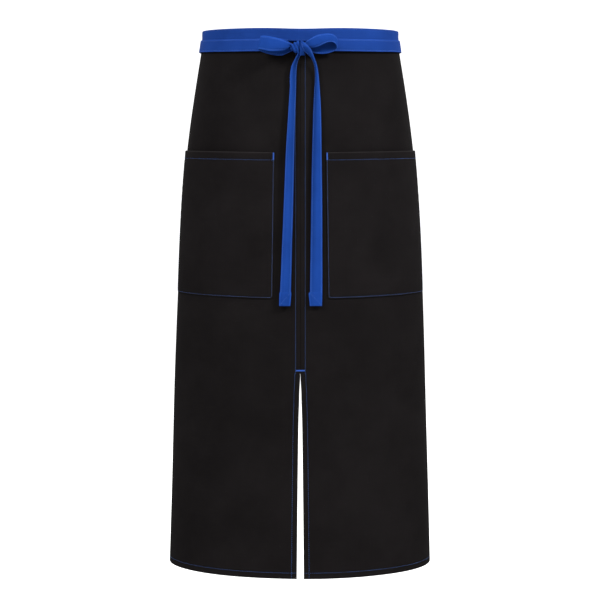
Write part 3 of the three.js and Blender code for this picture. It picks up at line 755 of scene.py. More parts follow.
def tie_wrap(name, side, start, lift):
    s = np.arange(start, OWN_END + SEWN_ON, 3.0)
    level, out, width = tie_path(s, side, lift)
    slope = np.gradient(level, s)
    size = np.hypot(1, slope)
    section, edge = tie_section()
    across = section[None, :, 0] * (width / TIE_WIDTH)[:, None]
    pucker = 0.06 * np.sin(s[:, None] / 2.3) * bell(edge[None, :], EDGE_ROW, 1.2)
    rise = section[None, :, 1] + np.sign(section[None, :, 1]) * pucker
    around = s[:, None] - across * (slope / size)[:, None]
    z = level[:, None] + across * (1 / size)[:, None]
    uv = np.stack([s[:, None] + 0 * across, across + BACK_UV * np.sign(rise + 1e-6)], -1)
    return swept(name, place(side * around, z, out[:, None] + rise), edge, band_blue, uv)


# The left end's tie crosses at the back, so it reaches the knot from the +X side.
wraps = {name: tie_wrap(f"{name}_tie_strap", -side, KNOT_SIDES[name] - 2.5, LIFTS[name])
         for name, side in SIDES.items()}

# %% [markdown]
# A bow loop is the same strap doubled back on itself and pinched at the knot. It is
# drawn here by its two edges: pairs of points, upper and lower, from the knot out along
# the front, round the end, and back behind. Smooth curves join them, and pleats grow
# towards the knot, where 20 mm of cloth has to fit into a few.
# %% Smooth curves through stations
def through(stations, count):
    """Points on a smooth curve through the stations (Catmull-Rom)."""
    stations = np.asarray(stations, float)
    before, after = 2 * stations[0] - stations[1], 2 * stations[-1] - stations[-2]
    padded = np.concatenate([[before], stations, [after]])
    t = np.linspace(0, len(stations) - 1 - 1e-9, count)
    i = t.astype(int)
    u = (t - i)[:, None]
    p0, p1, p2, p3 = (padded[i + k] for k in range(4))
    return 0.5 * (2 * p1 + (p2 - p0) * u + (2 * p0 - 5 * p1 + 4 * p2 - p3) * u**2
                  + (3 * p1 - p0 - 3 * p2 + p3) * u**3)


def unit(vectors):
    """The same directions, one long."""
    return vectors / np.maximum(np.linalg.norm(vectors, axis=-1, keepdims=True), 1e-9)


def edge_strap(name, upper, lower, side, cup, pleats, inside, count=84):
    """A stitched strap between two edge curves, cupped, pleated and darkened with painted shade by
    values along it.
    """
    top, low = through(upper, count), through(lower, count)
    along = unit(np.gradient((top + low) / 2, axis=0))
    across = top - low
    normal = unit(np.cross(along, across)) * side
    section, edge = tie_section()
    share = (section[:, 0] / TIE_WIDTH + 0.5)[None, :]
    cups, folds, dark = (np.interp(np.linspace(0, 1, count), np.linspace(0, 1, len(v)), v)[:, None]
                         for v in (cup, pleats, inside))
    lift = cups * (1 - (2 * share - 1) ** 2) - folds * np.cos(4 * math.pi * share)
    # Painted shade on the back face, which shows inside a loop: as deep as the inside values say,
    # and deeper towards the upper edge.
    painted_shade = dark * (section[None, :, 1] < 0) * (0.45 + 0.55 * share)
    base = low[:, None, :] + across[:, None, :] * share[:, :, None]
    out = lift + section[None, :, 1]
    paces = np.linalg.norm(np.diff((top + low) / 2, axis=0), axis=1)
    length = np.concatenate([[0], np.cumsum(paces)])[:, None]
    uv = np.stack([length + 0 * share, section[None, :, 0] + BACK_UV * np.sign(out - lift)], -1)
    made = swept(name, base + normal[:, None, :] * out[:, :, None], edge, tie_blue, uv, painted_shade)
    return made, (top, low, normal, lift)


# %% Bow loops
LEFT_UPPER = [
    (-9, -119.5, -17.5), (-15.4, -121.6, -15.7), (-18.6, -122.8, -14), (-25.4, -124.4, -11),
    (-32.4, -125.2, -8.4), (-40, -125.2, -6.6), (-48, -124.4, -5), (-56, -122, -4),
    (-61, -118.8, -4.4), (-57, -115.6, -7), (-45, -114, -10), (-31, -114.4, -14),
    (-20, -116, -17.5), (-9, -118, -20),
]
LEFT_LOWER = [
    (-9, -119.5, -21.5), (-15.4, -121.6, -20.6), (-18.6, -122.8, -23.2), (-25.4, -124.4, -26.2),
    (-32.4, -125.2, -27.2), (-40, -125.2, -27.6), (-48, -124.4, -27.4), (-58, -122, -25.4),
    (-65.2, -118.8, -24.2), (-61, -115.6, -27.8), (-47, -114, -32), (-31, -114.4, -34),
    (-20, -116, -30.6), (-9, -118, -25),
]
RIGHT_UPPER = [
    (3, -119, -16), (8.6, -121, -12.4), (13.4, -122.6, -9.4), (19.7, -124.2, -6),
    (26.7, -125.2, -3), (36, -125, -1.1), (44, -123.6, -0.7), (51, -121.4, -2), (56, -118.6, -6),
    (57, -116, -11), (50, -114.4, -10), (38, -114, -11), (24, -114.6, -14), (5, -118, -18),
]
RIGHT_LOWER = [
    (3, -119, -22), (10, -121.4, -22.6), (14.8, -123.4, -22.6), (22, -125.4, -22),
    (30, -126.4, -19.6), (38, -126, -15.8), (44.5, -124.8, -13.6), (51, -122.8, -14),
    (56, -119.8, -18.4), (56.6, -116.6, -24.4), (51, -114.6, -28), (38, -114, -31.3),
    (24, -114.6, -30.6), (5, -118, -25.5),
]
PINCHED = [2.0, 1.9, 1.6, 1.0, 0.4, 0.1, 0, 0, 0, 0, 0.1, 0.4, 1.0, 1.4]
CROWN = [0, 0.2, 0.6, 1.1, 1.3, 1.2, 1.0, 0.6, 0.3, 0.2, 0.2, 0.1, 0, 0]
# Painted shade inside each loop, from the knot round its end and back: deepest near the turn.
LEFT_PAINTED_SHADE = [0, 0, 0, 0.2, 0.4, 0.5, 0.6, 0.7, 0.7, 0.6, 0.5, 0.35, 0.3, 0.5]
RIGHT_PAINTED_SHADE = [0, 0, 0.2, 0.5, 0.7, 0.85, 0.9, 0.95, 0.95, 0.9, 0.8, 0.5, 0.35, 0.5]
left_loop, left_edges = edge_strap(
    "left_bow_loop", LEFT_UPPER, LEFT_LOWER, -1, CROWN, PINCHED, LEFT_PAINTED_SHADE)
right_loop, right_edges = edge_strap(
    "right_bow_loop", RIGHT_UPPER, RIGHT_LOWER, 1, CROWN, PINCHED, RIGHT_PAINTED_SHADE)

# %% [markdown]
# The knot is the strap wrapped once round the pinched middle of the bow. Its face is
# drawn tight into slanting pleats, so it is a rounded block whose skin rises and falls
# in ridges. A narrow upright turn of the strap lies beside it.
# %% The knot
KNOT_CENTRE = np.array([-6.8, -119.2, -22.0])
KNOT_HALF = np.array([8.9, 7.2, 11.4])
PLEAT_PITCH, PLEAT_DEPTH = 5.4, 2.4


def knot_skin(rows, columns):
    """Points of the pleated block by rows from pole to pole, and how near each is to a ridge."""
    tilt, turn = np.meshgrid(np.linspace(-math.pi / 2, math.pi / 2, rows),
                             np.linspace(0, 2 * math.pi, columns, endpoint=False), indexing="ij")

    def squared(value, power):
        return np.sign(value) * np.abs(value) ** power

    x = squared(np.cos(tilt), 0.6) * squared(np.cos(turn), 0.62)
    y = squared(np.cos(tilt), 0.6) * squared(np.sin(turn), 0.72)
    z = squared(np.sin(tilt), 0.72)
    tall = 0.5 + 0.5 * smooth(-1, 0.9, x)
    body = KNOT_CENTRE + np.stack([x, y, z * tall], -1) * KNOT_HALF
    body[..., 2] += 1.6 * (1 - tall)
    slant = (body[..., 0] - KNOT_CENTRE[0]) * 0.93 + (body[..., 2] - KNOT_CENTRE[2]) * 0.37
    slant = slant + 0.5 * np.sin(body[..., 2] / 3.1)
    ridge = np.abs(np.sin(slant * math.pi / PLEAT_PITCH + 0.9)) ** 0.6
    outward = unit(np.stack([x, y, z], -1))
    return body + outward * ((ridge - 0.8) * PLEAT_DEPTH)[..., None], ridge


def knot_block():
    rows, columns = 53, 88
    body, ridge = knot_skin(rows, columns)
    points = np.concatenate([body[1:-1].reshape(-1, 3), body[[0, -1], 0]])
    faces = tube_faces(rows - 2, columns)
    uv = np.stack([points[:, 0] + points[:, 1] * 0.7, points[:, 2]], -1)
    edge = np.full(len(points), TIE_WIDTH)
    # Painted shade in the valleys between the pleats, and at the two poles.
    crease = np.concatenate([(0.75 * (1 - ridge[1:-1]) ** 1.5).ravel(), [0.4, 0.4]])
    return finish_mesh("knot_wrap", points, faces, uv, edge, tie_blue, crease)


knot = knot_block()
STRAND_LEFT = [
    (0.2, -113, -14), (0.4, -119.5, -11), (0.2, -126.2, -14), (-0.2, -127.9, -21),
    (-0.2, -127, -28), (0.0, -122.5, -34.4), (0, -115, -31),
]
STRAND_RIGHT = [
    (2.8, -113, -14), (3.2, -119.5, -11.4), (3.0, -125.4, -14.5), (2.6, -127.2, -21),
    (5.4, -125, -28), (6.6, -120.5, -33.6), (5, -115, -31),
]
# The last list, 0.3, is painted shade on the strand's back face.
strand, _ = edge_strap("knot_strand", STRAND_LEFT, STRAND_RIGHT, 1, [0.8], [0.3], [0.3], 48)

# %% [markdown]
# Each tail leaves the knot folded lengthwise, so its section is a little roof, and it
# opens out flat as it hangs. It is drawn level by level: left edge, right edge, how far
# it stands off the canvas, and how high and where its fold runs. Its end is folded
# over on a slant and stitched, so the last stretch is thicker and a corner sticks out.
# %% Tail shapes
def along_levels(levels, values, z):
    """A smooth reading of values given at falling levels."""
    x, y = -np.asarray(levels, float), np.asarray(values, float)
    rates = np.diff(y) / np.diff(x)
    slope = np.concatenate([[rates[0]], (rates[1:] + rates[:-1]) / 2, [rates[-1]]])
    q = np.clip(-np.asarray(z, float), x[0], x[-1])
    i = np.clip(np.searchsorted(x, q, side="right") - 1, 0, len(x) - 2)
    width = x[i + 1] - x[i]
    u = (q - x[i]) / width
    return ((1 + 2 * u) * (1 - u) ** 2 * y[i] + u * (1 - u) ** 2 * width * slope[i]
            + u * u * (3 - 2 * u) * y[i + 1] + u * u * (u - 1) * width * slope[i + 1])


# In each tail, turned is painted shade: how far the part past the crease is darkened, level by
# level.
TAILS = {
    "left": {
        "level": [-30, -37, -43, -51, -61, -71, -80, -98, -118, -180, -259, -338, -401, -423],
        "left": [-3.5, -6.7, -10.1, -13.6, -15.4, -15.9, -15.8, -16.8, -17.9, -21.6, -24.8, -28.2,
                 -31, -32.3],
        "right": [1.0, -1.2, -3.6, -5.2, -6.0, -6.3, -6.4, -6.9, -7.7, -9.2, -10.9, -13, -14.7,
                  -15.9],
        "tab": (0.9, 1.0),
        "out": [11, 8, 6, 4.8, 4.2, 4.0, 4.1, 4.6, 5.2, 6.0, 6.2, 5.8, 5.2, 5.0],
        "fold": [2.0, 3.0, 3.2, 3.0, 2.8, 2.7, 2.6, 2.6, 2.6, 2.4, 2.1, 1.6, 1.0, 0.8],
        "crease": [0.5, 0.48, 0.46, 0.44, 0.42, 0.42, 0.44, 0.46, 0.48, 0.5, 0.55, 0.6, 0.6, 0.6],
        "turned": [0.6, 0.7, 0.7, 0.6, 0.5, 0.5, 0.48, 0.42, 0.38, 0.32, 0.22, 0.14, 0.1, 0.1],
    },
    "right": {
        "level": [-13, -17.4, -22, -27.8, -32, -36, -43, -52, -63, -75, -92, -118, -180, -259,
                  -338, -401, -423],
        "left": [1.2, 1.5, 2.5, 5.4, 10.2, 14.4, 18.8, 21.4, 22.3, 22.1, 21.0, 19.9, 18.2, 16.7,
                 15.8, 15, 15.3],
        "right": [4.5, 8.6, 13.4, 16.9, 18.8, 20.4, 23.0, 25.8, 27.6, 28.8, 30.0, 31.3, 32.3, 33.3,
                  33.6, 33.7, 33.2],
        "tab": (2.3, 0.1),
        "out": [17.5, 19.4, 19.2, 15.5, 12.5, 10, 7, 5.0, 4.1, 3.9, 4.0, 4.4, 4.9, 5.2, 5.0, 4.6,
                4.4],
        "fold": [1.0, 1.4, 1.8, 2.2, 2.4, 2.6, 2.8, 2.8, 2.8, 2.8, 2.6, 2.2, 1.4, 0.8, 0.4, 0.2,
                 0.2],
        "crease": [0.3, 0.3, 0.28, 0.26, 0.25, 0.25, 0.3, 0.36, 0.42, 0.46, 0.48, 0.48, 0.46, 0.44,
                   0.42, 0.4, 0.4],
        "turned": [0.2, 0.2, 0.2, 0.25, 0.4, 0.6, 0.7, 0.7, 0.68, 0.65, 0.6, 0.55, 0.44, 0.34,
                   0.26, 0.14, 0.12],
    },
}
END_FOLD = 21.0
END_START = TAIL_END + END_FOLD
FACE_LIFT = 0.05


def turned_part(tail, share, z):
    """How far a point belongs to the standing strip (0) or to the part past the crease (1)."""
    crease = along_levels(tail["level"], tail["crease"], z)
    past = share - crease if tail is TAILS["left"] else crease - share
    return smooth(-0.07, 0.07, past)


def tail_point(tail, share, z, lift):
    """A point of a tail: share 0 is its left edge and 1 its right edge."""
    left, right, out, fold = (along_levels(tail["level"], tail[key], z)
                              for key in ("left", "right", "out", "fold"))
    at_end = smooth(END_START + 1, END_START - 1, z)
    tab = at_end * (0.25 + 0.75 * (z - TAIL_END) / END_FOLD)
    left, right = left - tab * tail["tab"][0], right + tab * tail["tab"][1]
    outer_edge = share if tail is TAILS["left"] else 1 - share
    rounded = 1 - 0.35 * (1 - smooth(0, 0.25, outer_edge)) - 0.85 * turned_part(tail, share, z)
    thicker = 0.5 * at_end * np.sign(lift) * (np.abs(lift) > FACE_LIFT)
    return on_cloth(left + (right - left) * share, z, out + fold * rounded + lift + thicker)


def tie_tail(name, tail):
    top = tail["level"][0]
    z = np.concatenate([np.arange(top, -120, -1.8), np.arange(-120, END_START + 1.6, -3.5),
                        END_START + np.array([1.2, 0.4, -0.4, -1.2]),
                        np.arange(END_START - 3, TAIL_END + 1.2, -2.4),
                        TAIL_END + np.array([0.6, 0.2, 0.0])])[:, None]
    section, edge = tie_section()
    rounded_end = 1 - turned_under(z - TAIL_END, 0.8) / 0.8 * 0.85
    lift = section[None, :, 1] * rounded_end
    share, z = np.broadcast_arrays((section[:, 0] / TIE_WIDTH + 0.5)[None, :], z)
    uv = np.stack([z, section[None, :, 0] + BACK_UV * np.sign(lift)], -1)
    # Painted shade on the part of the tail past its crease, as deep as the turned values say.
    shade = np.maximum(along_levels(tail["level"], tail["turned"], z), 0)
    reverse = turned_part(tail, share, z) * shade * (lift > -0.1)
    return swept(name, tail_point(tail, share, z, lift), edge, tie_blue, uv, reverse)


tails = {name: tie_tail(f"{name}_tie_tail", TAILS[name]) for name in TAILS}

# %% [markdown]
# The patch pockets are squares of the same canvas, turned under and stitched on three
# sides, with a double hem along the mouth. The cloth lies tight at its sewn edges and
# stands a little proud in the middle, most at the mouth, where a hand goes in.
# %% Pocket cloth
POCKET_INNER, POCKET_WIDTH, MOUTH = 43.3, 200.0, 7.0
POCKET_HEM, POCKET_INSET = 12.0, 1.5
POCKET_HEIGHT = POCKET_TOP - POCKET_BOTTOM
CORNER, LEAN = 4.5, 0.014
POCKET_STEP = 3.2


def stand_off(s, z):
    """How far the pocket's back face stands off the panel."""
    across = np.clip((np.abs(s) - POCKET_INNER) / POCKET_WIDTH, 0, 1)
    up = np.clip((z - POCKET_BOTTOM) / POCKET_HEIGHT, 0, 1)
    return GAP + MOUTH * np.sin(math.pi * across) ** 0.85 * np.sqrt(up)


def leaning(s, z):
    """The pocket is sewn on with a slight lean: its mouth runs down towards the front."""
    return s - LEAN * (z - POCKET_BOTTOM), z - LEAN * (POCKET_INNER + POCKET_WIDTH - s)


def on_pocket(side, s, z, out):
    """A row in pocket coordinates: where it lies and which way it faces."""
    s_sewn, z_sewn = leaning(s, z)
    return row_on(side * s_sewn, z_sewn, out)


def pocket_patch(name, side):
    edges = [0, 0.06, 0.2, 0.45, 0.75, POCKET_INSET - 0.8, POCKET_INSET, POCKET_INSET + 0.8]
    wide = spread(edges + [POCKET_WIDTH - m for m in edges], POCKET_STEP, POCKET_WIDTH)
    mouth = [0, 0.12, 0.45, 0.9, 1.5] + [POCKET_HEM + m for m in (-1, -0.4, 0, 0.5)]
    tall = spread(edges + [POCKET_HEIGHT - m for m in mouth], POCKET_STEP, POCKET_HEIGHT)
    distance, rise = np.meshgrid(wide, tall[::-1])
    nearest = np.minimum(distance, POCKET_WIDTH - distance)
    corner = CORNER - np.sqrt(np.maximum(CORNER**2 - np.maximum(CORNER - nearest, 0) ** 2, 0))
    z = POCKET_BOTTOM + rise + corner * (1 - smooth(0, 24, rise))
    s = POCKET_INNER + distance
    down = POCKET_TOP - z
    sides = np.minimum(nearest, rise)
    room = np.clip(stand_off(s, z) - 0.6, 0, CLOTH + 0.1)
    double = room * (1 - smooth(POCKET_HEM - 0.4, POCKET_HEM + 0.4, down))
    sunk = 0.35 * bell(sides, POCKET_INSET, 0.8) + 0.25 * bell(down, POCKET_HEM, 0.9)
    ripple = 0.18 * np.sin(rise / 2.1 + 3 * side) * bell(nearest, 4, 3) \
        + 0.18 * np.sin(s / 2.3) * bell(rise, 4, 3)
    s_sewn, z_sewn = leaning(s, z)
    base = sway(side * s_sewn, z_sewn) + stand_off(s, z)
    bottom_out = base - double
    top_out = base + CLOTH - sunk + ripple
    half = (top_out - bottom_out) / 2
    shrink = np.clip(np.maximum(turned_under(sides, CLOTH / 2) / (CLOTH / 2),
                                turned_under(POCKET_HEIGHT - rise, CLOTH) / CLOTH), 0, 1)
    outer = place(side * s_sewn, z_sewn, top_out - half * shrink)
    inner = place(side * s_sewn, z_sewn, bottom_out + half * shrink)
    edge = np.minimum(sides, POCKET_HEIGHT - rise)
    return cloth_shell(name, outer, inner, np.stack([side * s, z], -1), edge, pocket_canvas)


pockets = {name: pocket_patch(f"{name}_patch_pocket", side) for name, side in SIDES.items()}

# %% [markdown]
# Thousands of stitches follow a few dozen rows. That is a job for Geometry Nodes: a row
# is a bare line of points that know which way is outwards, and one small tree puts a
# bent grain of thread at every pitch along it, laid along the row or turned across it
# for the dense bar tacks. The result is turned into plain mesh, one piece for each body.
# %% The stitch tree
def build_stitch_tree():
    tree = bpy.data.node_groups.new("stitch_row", "GeometryNodeTree")
    tree.is_modifier = True
    face = tree.interface
    face.new_socket("Row", in_out="INPUT", socket_type="NodeSocketGeometry")
    for label in ("Pitch", "Length", "Width", "Turn", "Wander"):
        face.new_socket(label, in_out="INPUT", socket_type="NodeSocketFloat")
    face.new_socket("Seed", in_out="INPUT", socket_type="NodeSocketInt")
    face.new_socket("Thread", in_out="INPUT", socket_type="NodeSocketMaterial")
    face.new_socket("Stitches", in_out="OUTPUT", socket_type="NodeSocketGeometry")
    given, result = tree.nodes.new("NodeGroupInput"), tree.nodes.new("NodeGroupOutput")
    curve = add_node(tree, "GeometryNodeMeshToCurve", {0: given.outputs["Row"]})
    spaced = add_node(tree, "GeometryNodeResampleCurve",
                      {"Curve": curve.outputs[0], "Length": given.outputs["Pitch"]}, mode="LENGTH")
    tangent = add_node(tree, "GeometryNodeInputTangent")
    outward = add_node(tree, "GeometryNodeInputNamedAttribute", {"Name": "outward"},
                       data_type="FLOAT_VECTOR")
    ahead = add_node(tree, "FunctionNodeAlignRotationToVector", {"Vector": tangent.outputs[0]},
                     axis="X")
    facing = add_node(tree, "FunctionNodeAlignRotationToVector",
                      {"Rotation": ahead.outputs[0], "Vector": outward.outputs["Attribute"]},
                      axis="Z", pivot_axis="X")
    chance = add_node(tree, "FunctionNodeRandomValue", {"Seed": given.outputs["Seed"]},
                      data_type="FLOAT")
    low = calc(tree, "MULTIPLY", given.outputs["Wander"], -1.0)
    tree.links.new(low, chance.inputs[2])
    tree.links.new(given.outputs["Wander"], chance.inputs[3])
    turned = calc(tree, "ADD", given.outputs["Turn"], chance.outputs[1])
    euler = add_node(tree, "ShaderNodeCombineXYZ", {"Z": turned})
    spin = add_node(tree, "FunctionNodeEulerToRotation", {0: euler.outputs[0]})
    aimed = add_node(tree, "FunctionNodeRotateRotation",
                     {"Rotation": facing.outputs[0], "Rotate By": spin.outputs[0]})
    aimed.rotation_space = "LOCAL"
    grain = add_node(tree, "GeometryNodeMeshUVSphere", {"Segments": 6, "Rings": 6, "Radius": 0.5})
    flat = calc(tree, "MULTIPLY", given.outputs["Width"], 0.8)
    sizes = add_node(tree, "ShaderNodeCombineXYZ", {"X": given.outputs["Length"],
                                                    "Y": given.outputs["Width"], "Z": flat})
    shaped = add_node(tree, "GeometryNodeTransform", {"Geometry": grain.outputs[0],
                                                      "Scale": sizes.outputs[0]})
    rounded = add_node(tree, "GeometryNodeSetShadeSmooth", {0: shaped.outputs[0]})
    placed = add_node(tree, "GeometryNodeInstanceOnPoints",
                      {"Points": spaced.outputs[0], "Instance": rounded.outputs[0],
                       "Rotation": aimed.outputs[0]})
    real = add_node(tree, "GeometryNodeRealizeInstances", {0: placed.outputs[0]})
    dyed = add_node(tree, "GeometryNodeSetMaterial", {"Geometry": real.outputs[0],
                                                      "Material": given.outputs["Thread"]})
    tree.links.new(dyed.outputs[0], result.inputs[0])
    return tree


stitch_tree = build_stitch_tree()


# %% Sew rows
def sew(name, rows, thread, pitch=3.1, length=2.0, width=0.5, turn=0.0, seed=1, wander=0.05):
    """rows: list of (points, outward) arrays in millimetres. Returns one mesh of stitches."""
    points, outward, edges = [], [], []
    for row_points, row_outward in rows:
        first = sum(len(p) for p in points)
        points.append(np.asarray(row_points))
        outward.append(np.asarray(row_outward))
        edges += [(first + k, first + k + 1) for k in range(len(row_points) - 1)]
    mesh = bpy.data.meshes.new(f"{name}_rows")
    mesh.from_pydata((np.concatenate(points) * MM).tolist(), edges, [])
    facing = mesh.attributes.new("outward", "FLOAT_VECTOR", "POINT")
    facing.data.foreach_set("vector", np.concatenate(outward).astype(np.float32).ravel())
    guide = bpy.data.objects.new(f"{name}_rows", mesh)
    bpy.context.scene.collection.objects.link(guide)
    modifier = guide.modifiers.new("sewing", "NODES")
    modifier.node_group = stitch_tree
    sockets = {item.name: item.identifier for item in stitch_tree.interface.items_tree
               if item.in_out == "INPUT"}
    for label, value in (("Pitch", pitch * MM), ("Length", length * MM), ("Width", width * MM),
                         ("Turn", turn), ("Wander", wander), ("Seed", seed), ("Thread", thread)):
        modifier[sockets[label]] = value
    graph = bpy.context.evaluated_depsgraph_get()
    sewn = bpy.data.meshes.new_from_object(guide.evaluated_get(graph), depsgraph=graph)
    sewn.name = name
    guide.modifiers.remove(modifier)
    bpy.data.objects.remove(guide)
    made = bpy.data.objects.new(name, sewn)
    bpy.context.scene.collection.objects.link(made)
    print(f"{name}: {len(rows)} rows, {len(sewn.polygons) // 36} stitches")
    return made


def row_on(s, z, out, cloth=True, inward=False):
    """A row of points in cloth coordinates, with the way each one faces."""
    s, z = np.broadcast_arrays(np.asarray(s, float), np.asarray(z, float))
    lay = on_cloth if cloth else place
    here, beyond = lay(s, z, out), lay(s, z, np.asarray(out) + 1.0)
    facing = unit(beyond - here)
    return here, -facing if inward else facing


def both_faces(s, z, cloth=True, front=0.0, back=-CLOTH):
    """The stitches seen on the face of the cloth, and the ones seen behind it."""
    return [row_on(s, z, front, cloth), row_on(s, z, back, cloth, inward=True)]


# %% Rows on the canvas
def steps(start, stop, step=3.0):
    """Even steps from start to stop."""
    return np.linspace(start, stop, max(2, int(abs(stop - start) / step) + 1))


ROW_END = 1.4
PRESSED = 0.05


def hem_rows(side):
    far = HALF_CLOTH - HEM_ROW
    low = HEM_LEVEL + HEM_ROW
    down = steps(BAND_BOTTOM - 1, low)
    along = steps(far, float(slit_half(low)) + ROW_END)[1:]
    up = steps(HEM_LEVEL + ROW_END, SLIT_TOP - 1)
    s = np.concatenate([np.full(len(down), far), along])
    z = np.concatenate([down, np.full(len(along), low)])
    return (both_faces(side * s, z, front=-PRESSED, back=-FOLDED)
            + both_faces(side * (slit_half(up) + SLIT_ROW), up, front=-PRESSED, back=-FOLDED))


def seam_rows():
    down = steps(BAND_BOTTOM - 1, SLIT_TOP + 1)
    rows = []
    for side, inset in SEAM_ROW.items():
        rows += both_faces(side * inset, down, front=-PRESSED, back=-FOLDED)
    return rows


hem_stitches = {name: sew(f"{name}_hem_stitches", hem_rows(side), blue_thread, seed=3 + side)
                for name, side in SIDES.items()}
seam_stitches = sew("centre_seam_stitches", seam_rows(), blue_thread, seed=11)

# %% Rows on the waistband
round_band = steps(-HALF_CLOTH + 1.5, HALF_CLOTH - 1.5, 2.5)
band_rows = []
for level in (BAND_TOP - 2.0, BAND_BOTTOM + 2.0):
    z = level - bow_dip(round_band)
    band_rows += [row_on(round_band, z, GAP + CLOTH - 0.1, False),
                  row_on(round_band, z, -FOLDED, False, inward=True)]
TIE_SEWING = {"pitch": 2.9, "width": 0.45}
band_stitches = sew("waistband_stitches", band_rows, tone_thread, length=1.9, seed=5, **TIE_SEWING)


# %% Rows on the pockets
POCKET_SIDES = (POCKET_INNER + POCKET_INSET, POCKET_INNER + POCKET_WIDTH - POCKET_INSET)


def pocket_top(s, z):
    """The pocket's outer face."""
    return stand_off(s, z) + CLOTH


def pocket_rows(side):
    """One row down, along and up the sewn edges, on both faces, and one along the mouth."""
    near, far = POCKET_SIDES
    low, top = POCKET_BOTTOM + POCKET_INSET, POCKET_TOP - POCKET_HEM
    turn = np.linspace(0, math.pi / 2, 7)
    bend = CORNER - POCKET_INSET * 0.6
    down = np.linspace(top - 2, low + bend, 60)
    along = steps(near + bend, far - bend)[1:-1]
    s = np.concatenate([np.full(60, near), near + bend - bend * np.cos(turn), along,
                        far - bend + bend * np.sin(turn), np.full(60, far)])
    z = np.concatenate([down, low + bend - bend * np.sin(turn), np.full(len(along), low),
                        low + bend - bend * np.cos(turn), down[::-1]])
    round_row = on_pocket(side, s, z, pocket_top(s, z) - 0.12)
    s_sewn, z_sewn = leaning(s, z)
    behind = row_on(side * s_sewn, z_sewn, -CLOTH, inward=True)
    across = steps(near, far)
    mouth = on_pocket(side, across, top, pocket_top(across, top) - PRESSED)
    return [round_row, behind, mouth]


pocket_stitches = {
    name: sew(f"{name}_pocket_stitches", pocket_rows(side), blue_thread, seed=21 + side)
    for name, side in SIDES.items()
}

# %% [markdown]
# Bar tacks are a few millimetres of dense zigzag that stop a corner from tearing: one
# at each end of a pocket's mouth, and one above the slit. The same tree makes them,
# with the grains of thread turned across the row and packed close.
# %% Bar tacks
ZIGZAG = {"pitch": 0.42, "width": 0.6, "turn": math.pi / 2, "wander": 0.16}
ROW_CLEAR = 0.9


def pocket_tacks(side):
    level = np.linspace(POCKET_TOP - 0.8, POCKET_TOP - POCKET_HEM + 0.5, 16)
    return [on_pocket(side, s, level, pocket_top(s, level) + 0.15) for s in POCKET_SIDES]


tacks = {
    name: sew(f"{name}_pocket_tacks", pocket_tacks(side), tack_thread, length=2.5,
              seed=31 + side, **ZIGZAG)
    for name, side in SIDES.items()
}
tack_level = sum(corner[2] for corner in box_mm("slit_tack")) / 2
tack_across = np.linspace(ROW_CLEAR - SEAM_ROW[-1], SEAM_ROW[1] - ROW_CLEAR, 12)
slit_tack = sew("slit_bar_tack", both_faces(tack_across, tack_level, front=0.2, back=-FOLDED - 0.1),
                tack_thread, length=2.7, seed=41, **ZIGZAG)


# %% Rows on the ties
EDGE_SHARES = (EDGE_ROW / TIE_WIDTH, 1 - EDGE_ROW / TIE_WIDTH)
ROW_LIFT, TOP_LIFT = 0.5, 0.65


def wrap_rows(side, start, lift):
    """Both edges of a tie round the body, and the crossed rows where it is sewn on."""
    s = np.arange(start, OWN_END + 16, 3.0)
    level, out, width = tie_path(s, side, lift)
    rows = []
    for edge_side in (-1, 1):
        z = level + edge_side * (width / 2 - EDGE_ROW)
        rows += [row_on(side * s, z, out + ROW_LIFT, False),
                 row_on(side * s, z, out - ROW_LIFT, False, inward=True)]
    lap, top = np.linspace(-7.5, 7.5, 6), float(out[-1]) + TOP_LIFT
    rows += [row_on(side * (OWN_END + STEP_OVER + lap), sign * lap, top, False) for sign in (-1, 1)]
    return rows


def strap_rows(edges):
    """Both edges of a loop, on its two faces, stopping short of the knot."""
    top, low, normal, lift = edges
    rows = []
    for share in EDGE_SHARES:
        path = low + (top - low) * share
        for face in (1, -1):
            here = path + normal * (cupped(lift, share) + face * ROW_LIFT)
            rows.append((here[3:-3], (normal * face)[3:-3]))
    return rows


def cupped(lift, share):
    """The face's rise at a share across the strap, read from its section."""
    section = tie_section()[0]
    upper = section[:17, 0] / TIE_WIDTH + 0.5
    return np.array([np.interp(share, upper, row[:17]) for row in lift])[:, None]


def tail_row(tail, share, z, lift):
    """A row on one face of a tail: in front for a lift above zero, behind for one below."""
    here, beyond = (tail_point(tail, share, z, np.full(len(z), lift + step))
                    for step in (0, math.copysign(1, lift)))
    return here, unit(beyond - here)


def tail_rows(tail):
    """Both edges of a tail, and the slanting row that holds its folded end."""
    z = steps(tail["level"][0] - 3, END_START + 2, 2.5)
    rows = [tail_row(tail, np.full(len(z), share), z, face * ROW_LIFT)
            for share in EDGE_SHARES for face in (1, -1)]
    slant = np.linspace(0, 1, 8)
    share = 0.1 + 0.8 * slant if tail is TAILS["left"] else 0.9 - 0.8 * slant
    z_end = TAIL_END + 2 + slant * (END_FOLD - 3)
    return rows + [tail_row(tail, share, z_end, face * TOP_LIFT) for face in (1, -1)]


STRAP_SEWING = {**TIE_SEWING, "length": 1.8}
strap_lines = [wrap_rows(-side, KNOT_SIDES[name], LIFTS[name]) for name, side in SIDES.items()]
tie_stitches = sew("tie_strap_stitches", sum(strap_lines, []), tone_thread, seed=51, **STRAP_SEWING)
loop_lines = strap_rows(left_edges) + strap_rows(right_edges)
loop_stitches = sew("bow_loop_stitches", loop_lines, tone_thread, seed=61, **STRAP_SEWING)
tail_stitches = {
    name: sew(f"{name}_tail_stitches", tail_rows(tail), tone_thread, seed=71, **STRAP_SEWING)
    for name, tail in TAILS.items()
}
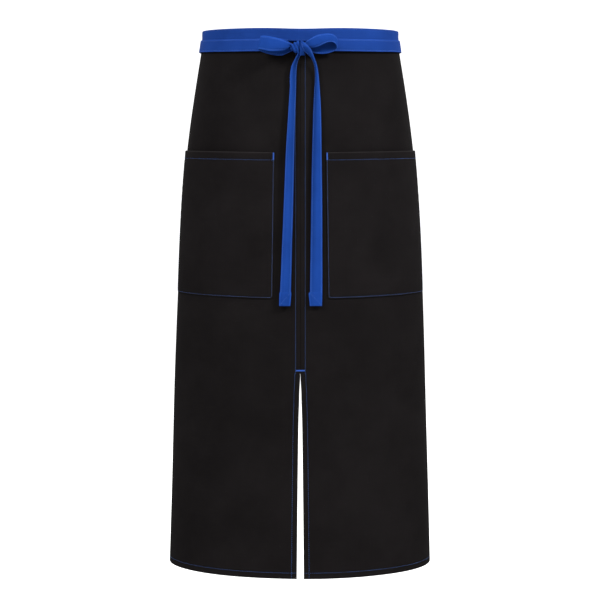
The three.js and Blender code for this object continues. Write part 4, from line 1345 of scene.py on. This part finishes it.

# %% [markdown]
# Now each piece hides the CAD nodes it replaces and rides on its body. A panel hangs from the
# waistband but its lower part swings with its leg; the panels, the tails and the stitches in
# them are not put on a body here and keep the place they were built in.
# %% Ride and replace
APRON = "apron"


def settle(piece, slot, *nodes, body=APRON, swings=None):
    """Hides the replaced nodes, and puts the piece on its body, or bakes its place into its mesh
    where it swings. The slot is not used.
    """
    if nodes:
        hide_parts(*nodes)
    if swings:
        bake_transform(piece)
    else:
        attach(piece, body)


TAIL_HINGE = -44.0


def leg_swing(name):
    return (f"{name}_leg", (0, 0, (SLIT_TOP + 40) * MM), (0, 0, (HEM_LEVEL + 8) * MM))


def tail_swing(name):
    return (f"{name}_tail", (0, 0, (TAIL_HINGE + 9) * MM), (0, 0, (TAIL_HINGE - 12) * MM))


for name in SIDES:
    settle(panels[name], "canvas", f"{name}_upper_panel", f"{name}_leg_panel",
           f"{name}_upper_side_hem", f"{name}_leg_side_hem", f"{name}_slit_hem",
           f"{name}_bottom_hem", swings=leg_swing(name))
    settle(hem_stitches[name], "thread", f"{name}_upper_side_thread", f"{name}_leg_hem_thread",
           swings=leg_swing(name))
    settle(pockets[name], "pocket_canvas", f"{name}_pocket", f"{name}_pocket_top_hem")
    settle(pocket_stitches[name], "thread", f"{name}_pocket_top_thread",
           f"{name}_pocket_side_thread")
    settle(tacks[name], "thread", f"{name}_pocket_inner_tack", f"{name}_pocket_outer_tack")
    settle(wraps[name], "tie_cloth", f"{name}_tie_wrap")
    settle(tails[name], "tie_cloth", f"{name}_tail", f"{name}_tie_neck", swings=tail_swing(name))
    settle(tail_stitches[name], "thread", swings=tail_swing(name))
settle(centre_strip, "canvas", "centre_seam")
settle(band, "band_cloth", "waistband")
settle(band_stitches, "thread", "waistband_top_thread", "waistband_bottom_thread")
settle(seam_stitches, "thread", "centre_seam_left_thread", "centre_seam_right_thread")
settle(slit_tack, "thread", "slit_tack")
settle(left_loop, "tie_cloth", "left_loop")
settle(right_loop, "tie_cloth", "right_loop")
settle(knot, "tie_cloth", "knot")
settle(strand, "tie_cloth")
for stitches in (tie_stitches, loop_stitches):
    settle(stitches, "thread")
